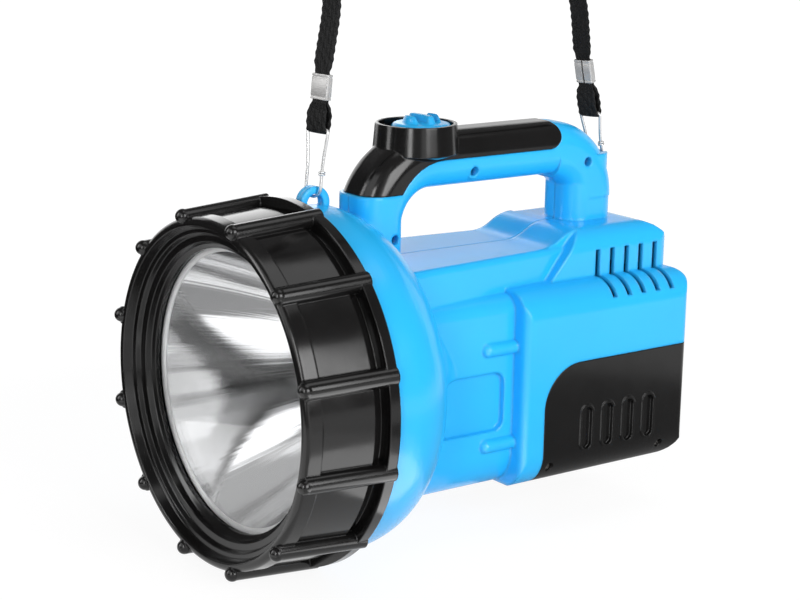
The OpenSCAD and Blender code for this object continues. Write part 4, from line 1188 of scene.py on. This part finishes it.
@dataclass
class ScrewSet:
    """Cross-head screws that stand for one node's plain ones."""

    node: str
    seats: tuple[tuple[float, float, float, int], ...]
    shank: float
    head_r: float = 2.3
    head_h: float = 2.0
    crown: float = 0.12
    arm_sides: Pair = (0.28, 0.5)
    arm_ends: Pair = (1.2, 1.5)
    arm_depth: float = 0.9
    shank_r: float = 1.3
    rings: int = 14
    segments: int = 40
    turn_step: float = 17

    def height(self, u: float, v: float) -> float:
        """Find the height of the screw's head, with its cross.

        Args:
            u: Place on the head along one arm of the cross, in millimetres.
            v: Place along the other arm.

        Returns:
            The height over the head's seat, in millimetres.
        """
        arms = max(
            (1 - ease(*self.arm_sides, abs(a))) * (1 - ease(*self.arm_ends, abs(b)))
            for a, b in ((u, v), (v, u))
        )
        return self.head_h - self.crown * (u * u + v * v) - self.arm_depth * arms

    def build(self) -> None:
        """Build all the screws as one piece."""
        sketch = MeshSketch()
        for x, y, z, side in self.seats:
            turn = Matrix.Rotation(math.radians(90 * side), 4, "Y")
            twist = Matrix.Rotation(math.radians(self.turn_step * (y + z)), 4, "Z")
            place = Matrix.Translation(LAMP.at(x, y, z)) @ turn @ twist
            radii = [self.head_r * (1 - k / self.rings) for k in range(self.rings)]
            rim = relief_disc(sketch, place, radii, self.segments, self.height)
            walls = [
                sketch.level(place, circle(r, self.segments), h)
                for r, h in ((self.shank_r, -self.shank), (self.shank_r, 0), (self.head_r, 0))
            ]
            sketch.skin([*walls, rim])
            sketch.cap(walls[0], flip=True)
        screws = sketch.to_object(f"cross_{self.node}", STEEL, Body.LAMP, sharp_deg=40)
        stand_for(screws, self.node)


@dataclass
class Housing(SubAssembly):
    """Blue shells, black base cover and the screws that hold them."""

    solids: ClassVar[dict[str, Finish]] = {
        "left_shell": BLUE, "right_shell": BLUE, "base_cover": BLACK
    }
    handle_screw_x: float = 8.0
    handle_screws: tuple[Pair, ...] = ((151, 99.5), (228, 98), (100.75, 69))
    handle_shank: float = 18.0
    base_screw_x: float = 47.4
    base_screws: tuple[Pair, ...] = ((177, -54), (255, -54))
    base_shank: float = 8.0

    def shape(self) -> None:
        """Build the screws."""
        handle = tuple((self.handle_screw_x, y, z, 1) for y, z in self.handle_screws)
        base = tuple(
            (side * self.base_screw_x, y, z, side) for side in (-1, 1) for y, z in self.base_screws
        )
        ScrewSet("handle_screws", handle, self.handle_shank).build()
        ScrewSet("base_screws", base, self.base_shank).build()


@dataclass
class Handle(SubAssembly):
    """Black grip cover, thumb slider and the switch below it."""

    solids: ClassVar[dict[str, Finish]] = {"handle_cover": BLACK, "slide_switch": SATIN_BLACK}
    slider_y: float = 126.9
    slider_z: float = 119.4
    slider_r: float = 15.4
    slider_t: float = 6.0
    rib_pitch: float = 8.55
    rib_half: float = 2.35
    rib_h: float = 3.5
    rib_reach: float = 10.2
    rib_end: float = 2.2
    rib_flat: float = 0.55
    crown: float = 0.9
    edge_r: float = 2.2
    stem_half_w: float = 2.5
    stem_half_l: float = 3.0
    stem_depth: float = 4.8
    stem_lap: float = 0.5
    rings: int = 46
    ring_power: float = 1.15
    segments: int = 128

    def height(self, u: float, v: float) -> float:
        """Find the height of the slider's face.

        Args:
            u: Place on the face along the bars, in millimetres.
            v: Place across the bars.

        Returns:
            The height over the slider's foot, in millimetres.
        """
        r = math.hypot(u, v)
        edge = max(0.0, r - (self.slider_r - self.edge_r)) / self.edge_r
        fall = self.edge_r * (1 - math.sqrt(max(0.0, 1 - edge * edge)))
        off_bar = min(abs(v - k * self.rib_pitch) for k in (-1, 0, 1)) / self.rib_half
        ends = ease(self.rib_reach - self.rib_end, self.rib_reach, r)
        bar = self.rib_h * (1 - ease(self.rib_flat, 1, off_bar)) * (1 - ends)
        return self.slider_t - self.crown * (r / self.slider_r) ** 2 - fall + bar

    def shape(self) -> None:
        """Build the thumb slider with its three finger bars."""
        place = Matrix.Translation(LAMP.at(0, self.slider_y, self.slider_z))
        sketch = MeshSketch()
        shares = [(k / self.rings) ** self.ring_power for k in range(self.rings)]
        radii = [self.slider_r * (1 - share) for share in shares]
        rim = relief_disc(sketch, place, radii, self.segments, self.height)
        foot = sketch.level(place, circle(self.slider_r, self.segments), 0)
        sketch.skin([foot, rim])
        sketch.cap(foot, flip=True)
        u, v = self.stem_half_w, self.stem_half_l
        corners = [(-u, -v), (u, -v), (u, v), (-u, v)]
        stem = [sketch.level(place, corners, z) for z in (-self.stem_depth, self.stem_lap)]
        sketch.skin(stem)
        sketch.cap(stem[0], flip=True)
        sketch.cap(stem[1])
        slider = sketch.to_object("thumb_slider", BLUE, Body.SLIDER, sharp_deg=50)
        stand_for(slider, "switch_slider")


class PowerPack(SubAssembly):
    """Battery cells in their holders, and the driver board."""

    solids: ClassVar[dict[str, Finish]] = {
        "battery_cells": CELL_WRAP, "battery_holders": SATIN_BLACK, "driver_board": CIRCUIT_GREEN
    }


class ChargePort(SubAssembly):
    """Charge jack in its frame, with a hinged flap."""

    solids: ClassVar[dict[str, Finish]] = {
        "charge_frame": BLACK, "charge_jack": SATIN_BLACK, "charge_flap": SATIN_BLACK,
        "flap_pin": STEEL,
    }


@dataclass
class PhotoCamera:
    """Camera at the photograph's viewing angle, in the lamp's frame."""

    azimuth: float = 53.296
    elevation: float = 13.471
    roll: float = 1.168
    place: Triple = (822.27, -497.38, 278.87)
    focal_px: float = 2044.9
    image_w: int = 800
    sensor: float = 36.0

    def build(self) -> None:
        """Make the camera the scene's own."""
        az, el, roll = (math.radians(a) for a in (self.azimuth, self.elevation, self.roll))
        back = Vector((math.sin(az) * math.cos(el), -math.cos(az) * math.cos(el), math.sin(el)))
        right = Vector((math.cos(az), math.sin(az), 0))
        up = back.cross(right)
        across = right * math.cos(roll) + up * math.sin(roll)
        above = up * math.cos(roll) - right * math.sin(roll)
        data = bpy.data.cameras.new("photo_camera")
        data.sensor_width = self.sensor
        data.lens = self.focal_px / self.image_w * self.sensor
        camera = add_object("photo_camera", data)
        turn = Matrix((across, above, back)).transposed().to_4x4()
        camera.matrix_world = Matrix.Translation(LAMP.at(*self.place)) @ turn
        bpy.context.scene.camera = camera


@dataclass(frozen=True)
class SoftBox:
    """A large soft lamp that points at the object's middle."""

    name: str
    place: Triple
    width: float
    height: float
    power: float

    def build(self, aim: Vector) -> None:
        """Hang the lamp.

        Args:
            aim: The point that it faces.
        """
        data = bpy.data.lights.new(self.name, "AREA")
        data.shape = "RECTANGLE"
        data.size, data.size_y = self.width, self.height
        data.energy = self.power
        lamp = add_object(self.name, data)
        lamp.location = self.place
        lamp.visible_transmission = False
        lamp.rotation_mode = "QUATERNION"
        lamp.rotation_quaternion = (aim - Vector(self.place)).to_track_quat("-Z", "Y")


@dataclass(frozen=True)
class Cloth:
    """A piece of the set that only gloss, metal and glass show, part of a sphere round the object.

    Azimuths run from straight ahead of the lamp towards its left, and elevations from the horizon.
    """

    name: str
    azimuths: Pair
    elevations: Pair
    tone: float
    radius: float = 2.6
    centre_z: float = 0.1
    floor_gap: float = 0.004
    step_deg: float = 7.5

    def build(self) -> None:
        """Hang the cloth."""
        azimuths = self.stops(self.azimuths, 4)
        sketch = MeshSketch()
        grid = [
            sketch.ring([self.spot(azimuth, lift) for azimuth in azimuths])
            for lift in self.stops(self.elevations, 2)
        ]
        for low, high in zip(grid, grid[1:]):
            for k in range(len(azimuths) - 1):
                sketch.faces.append([low[k], low[k + 1], high[k + 1], high[k]])
        material = bpy.data.materials.new(self.name)
        shader = NodeSketch(material, "Emission")
        shader.fill(shader.shader, {"Color": (self.tone, self.tone, self.tone, 1), "Strength": 1.0})
        cloth = add_object(self.name, sketch.to_mesh(self.name, material))
        for ray in ("visible_camera", "visible_diffuse", "visible_shadow"):
            setattr(cloth, ray, False)

    def stops(self, span: Pair, least: int) -> list[float]:
        """Divide a span of angles.

        Args:
            span: First and last angle, in degrees.
            least: Smallest count of steps.

        Returns:
            The angles, in radians.
        """
        first, last = span
        count = max(least, round((last - first) / self.step_deg))
        return [math.radians(first + (last - first) * k / count) for k in range(count + 1)]

    def spot(self, azimuth: float, lift: float) -> Vector:
        """Find the cloth's point in a direction.

        Args:
            azimuth: Direction round the object, in radians.
            lift: Direction over the horizon, in radians.

        Returns:
            The point on the sphere, or just over the floor where that is nearer.
        """
        flat = math.cos(lift)
        way = Vector((math.sin(azimuth) * flat, -math.cos(azimuth) * flat, math.sin(lift)))
        reach = self.radius
        if way.z < 0:
            reach = min(reach, (self.centre_z - self.floor_gap) / -way.z)
        return Vector((0, 0, self.centre_z)) + way * reach


@dataclass
class Studio:
    """White studio: floor, surroundings, cloths and cards that gloss shows, and soft lamps."""

    ambient: float = 0.2
    floor_half: float = 3.0
    floor_tone: float = 0.9
    shadow_share: float = 0.16
    shadow_reach: Pair = (0.35, 0.9)
    floor_glow: float = 1.08
    cloths: tuple[Cloth, ...] = (
        Cloth("cloth_front", (-115, 31), (-9, 36), 0.08),
        Cloth("cloth_camera", (31, 66), (-9, 50), 0.36),
        Cloth("cloth_edge", (66, 74), (-9, 50), 0.7),
        Cloth("cloth_low", (-115, -12), (-17, -9), 0.03),
        Cloth("cloth_right", (92, 172), (-4, 36), 0.2),
        Cloth("cloth_left", (172, 245), (30, 36), 0.05),
        Cloth("cloth_top", (-115, 245), (36, 89.5), 0.2, 2.7),
        Cloth("side_card", (70, 92), (-22, 14), 1.3, 2.5),
        Cloth("floor_glint", (55, 88), (-44, -22), 4.0),
        Cloth("cloth_under", (98, 178), (-70, -14), 0.28),
        Cloth("white_card", (-32, 31), (12, 50), 1.6, 2.3),
        Cloth("low_card", (27, 40), (-12, 8), 1.0, 2.4),
        Cloth("floor_card", (-14, 34), (-27, -9), 1.7),
    )
    lamps: tuple[SoftBox, ...] = (
        SoftBox("side_softbox", (1.7, 0.2, 0.7), 1.0, 1.0, 23),
        SoftBox("key_strip", (1.0, -1.25, 0.6), 0.3, 1.0, 8),
        SoftBox("front_strip", (-0.6, -1.3, 0.6), 0.3, 1.0, 5),
        SoftBox("top_softbox", (0.3, 0.3, 1.6), 1.0, 1.0, 4.5),
        SoftBox("fill_softbox", (-1.7, 0.3, 0.4), 1.6, 1.6, 12),
    )

    @staticmethod
    def seen(sketch: NodeSketch) -> Node:
        """Add a node that is 1 for rays that look at the surroundings.

        Args:
            sketch: Tree that takes the nodes.

        Returns:
            A node whose value is 1 for camera, glossy and transmission rays.
        """
        rays = sketch.add("LightPath")
        plain = sketch.maths("MAXIMUM", (rays, "Is Camera Ray"), (rays, "Is Glossy Ray"))
        return sketch.maths("MAXIMUM", plain, (rays, "Is Transmission Ray"))

    def surroundings(self) -> None:
        """Make the world white to look at, and a plain soft light otherwise."""
        world = bpy.data.worlds.new("white_room")
        sketch = NodeSketch(world, "MixShader", "OutputWorld")
        sketch.link(self.seen(sketch), 0, sketch.shader, 0)
        for socket, strength in ((1, self.ambient), (2, 1.0)):
            light = sketch.add("Background", {"Color": WHITE, "Strength": strength})
            sketch.link(light, 0, sketch.shader, socket)
        bpy.context.scene.world = world

    def floor(self) -> None:
        """Lay a pale floor that keeps the object's shadow."""
        material = bpy.data.materials.new("pale_floor")
        sketch = NodeSketch(material, "MixShader")
        tone = (self.floor_tone, self.floor_tone, self.floor_tone, 1)
        matt = sketch.add("BsdfDiffuse", {"Color": tone})
        white = sketch.add("Emission", {"Color": WHITE, "Strength": self.floor_glow})
        where = sketch.add("TexCoord")
        reach = sketch.add("VectorMath", operation="LENGTH")
        sketch.link(where, "Object", reach, 0)
        near, far = self.shadow_reach
        kept = sketch.add("MapRange", {
            "From Min": near, "From Max": far, "To Min": 1 - self.shadow_share, "To Max": 1.0,
        })
        sketch.link(reach, "Value", kept, "Value")
        share = sketch.maths("MULTIPLY", self.seen(sketch), kept)
        for socket, source in enumerate((share, matt, white)):
            sketch.link(source, 0, sketch.shader, socket)
        h = self.floor_half
        plane = MeshSketch()
        plane.cap(plane.ring([Vector(p) for p in ((-h, -h, 0), (h, -h, 0), (h, h, 0), (-h, h, 0))]))
        floor = add_object("studio_floor", plane.to_mesh("studio_floor", material))

    def build(self) -> None:
        """Build the surroundings, the floor, the cloths and the lamps."""
        bpy.context.scene.view_settings.view_transform = "Standard"
        self.surroundings()
        self.floor()
        for cloth in self.cloths:
            cloth.build()
        low, high = CAD_BOX
        for lamp in self.lamps:
            lamp.build((low + high) / 2)


def main() -> None:
    """Build the camera, the strap and every sub-assembly, in that order."""
    logging.basicConfig(level=logging.INFO, format="%(name)s: %(message)s")
    for kind in (PhotoCamera, Strap, Head, Housing, Handle, PowerPack, ChargePort, Studio):
        LOG.info("building %s", kind.__name__)
        kind().build()


if __name__ == "__main__":
    main()
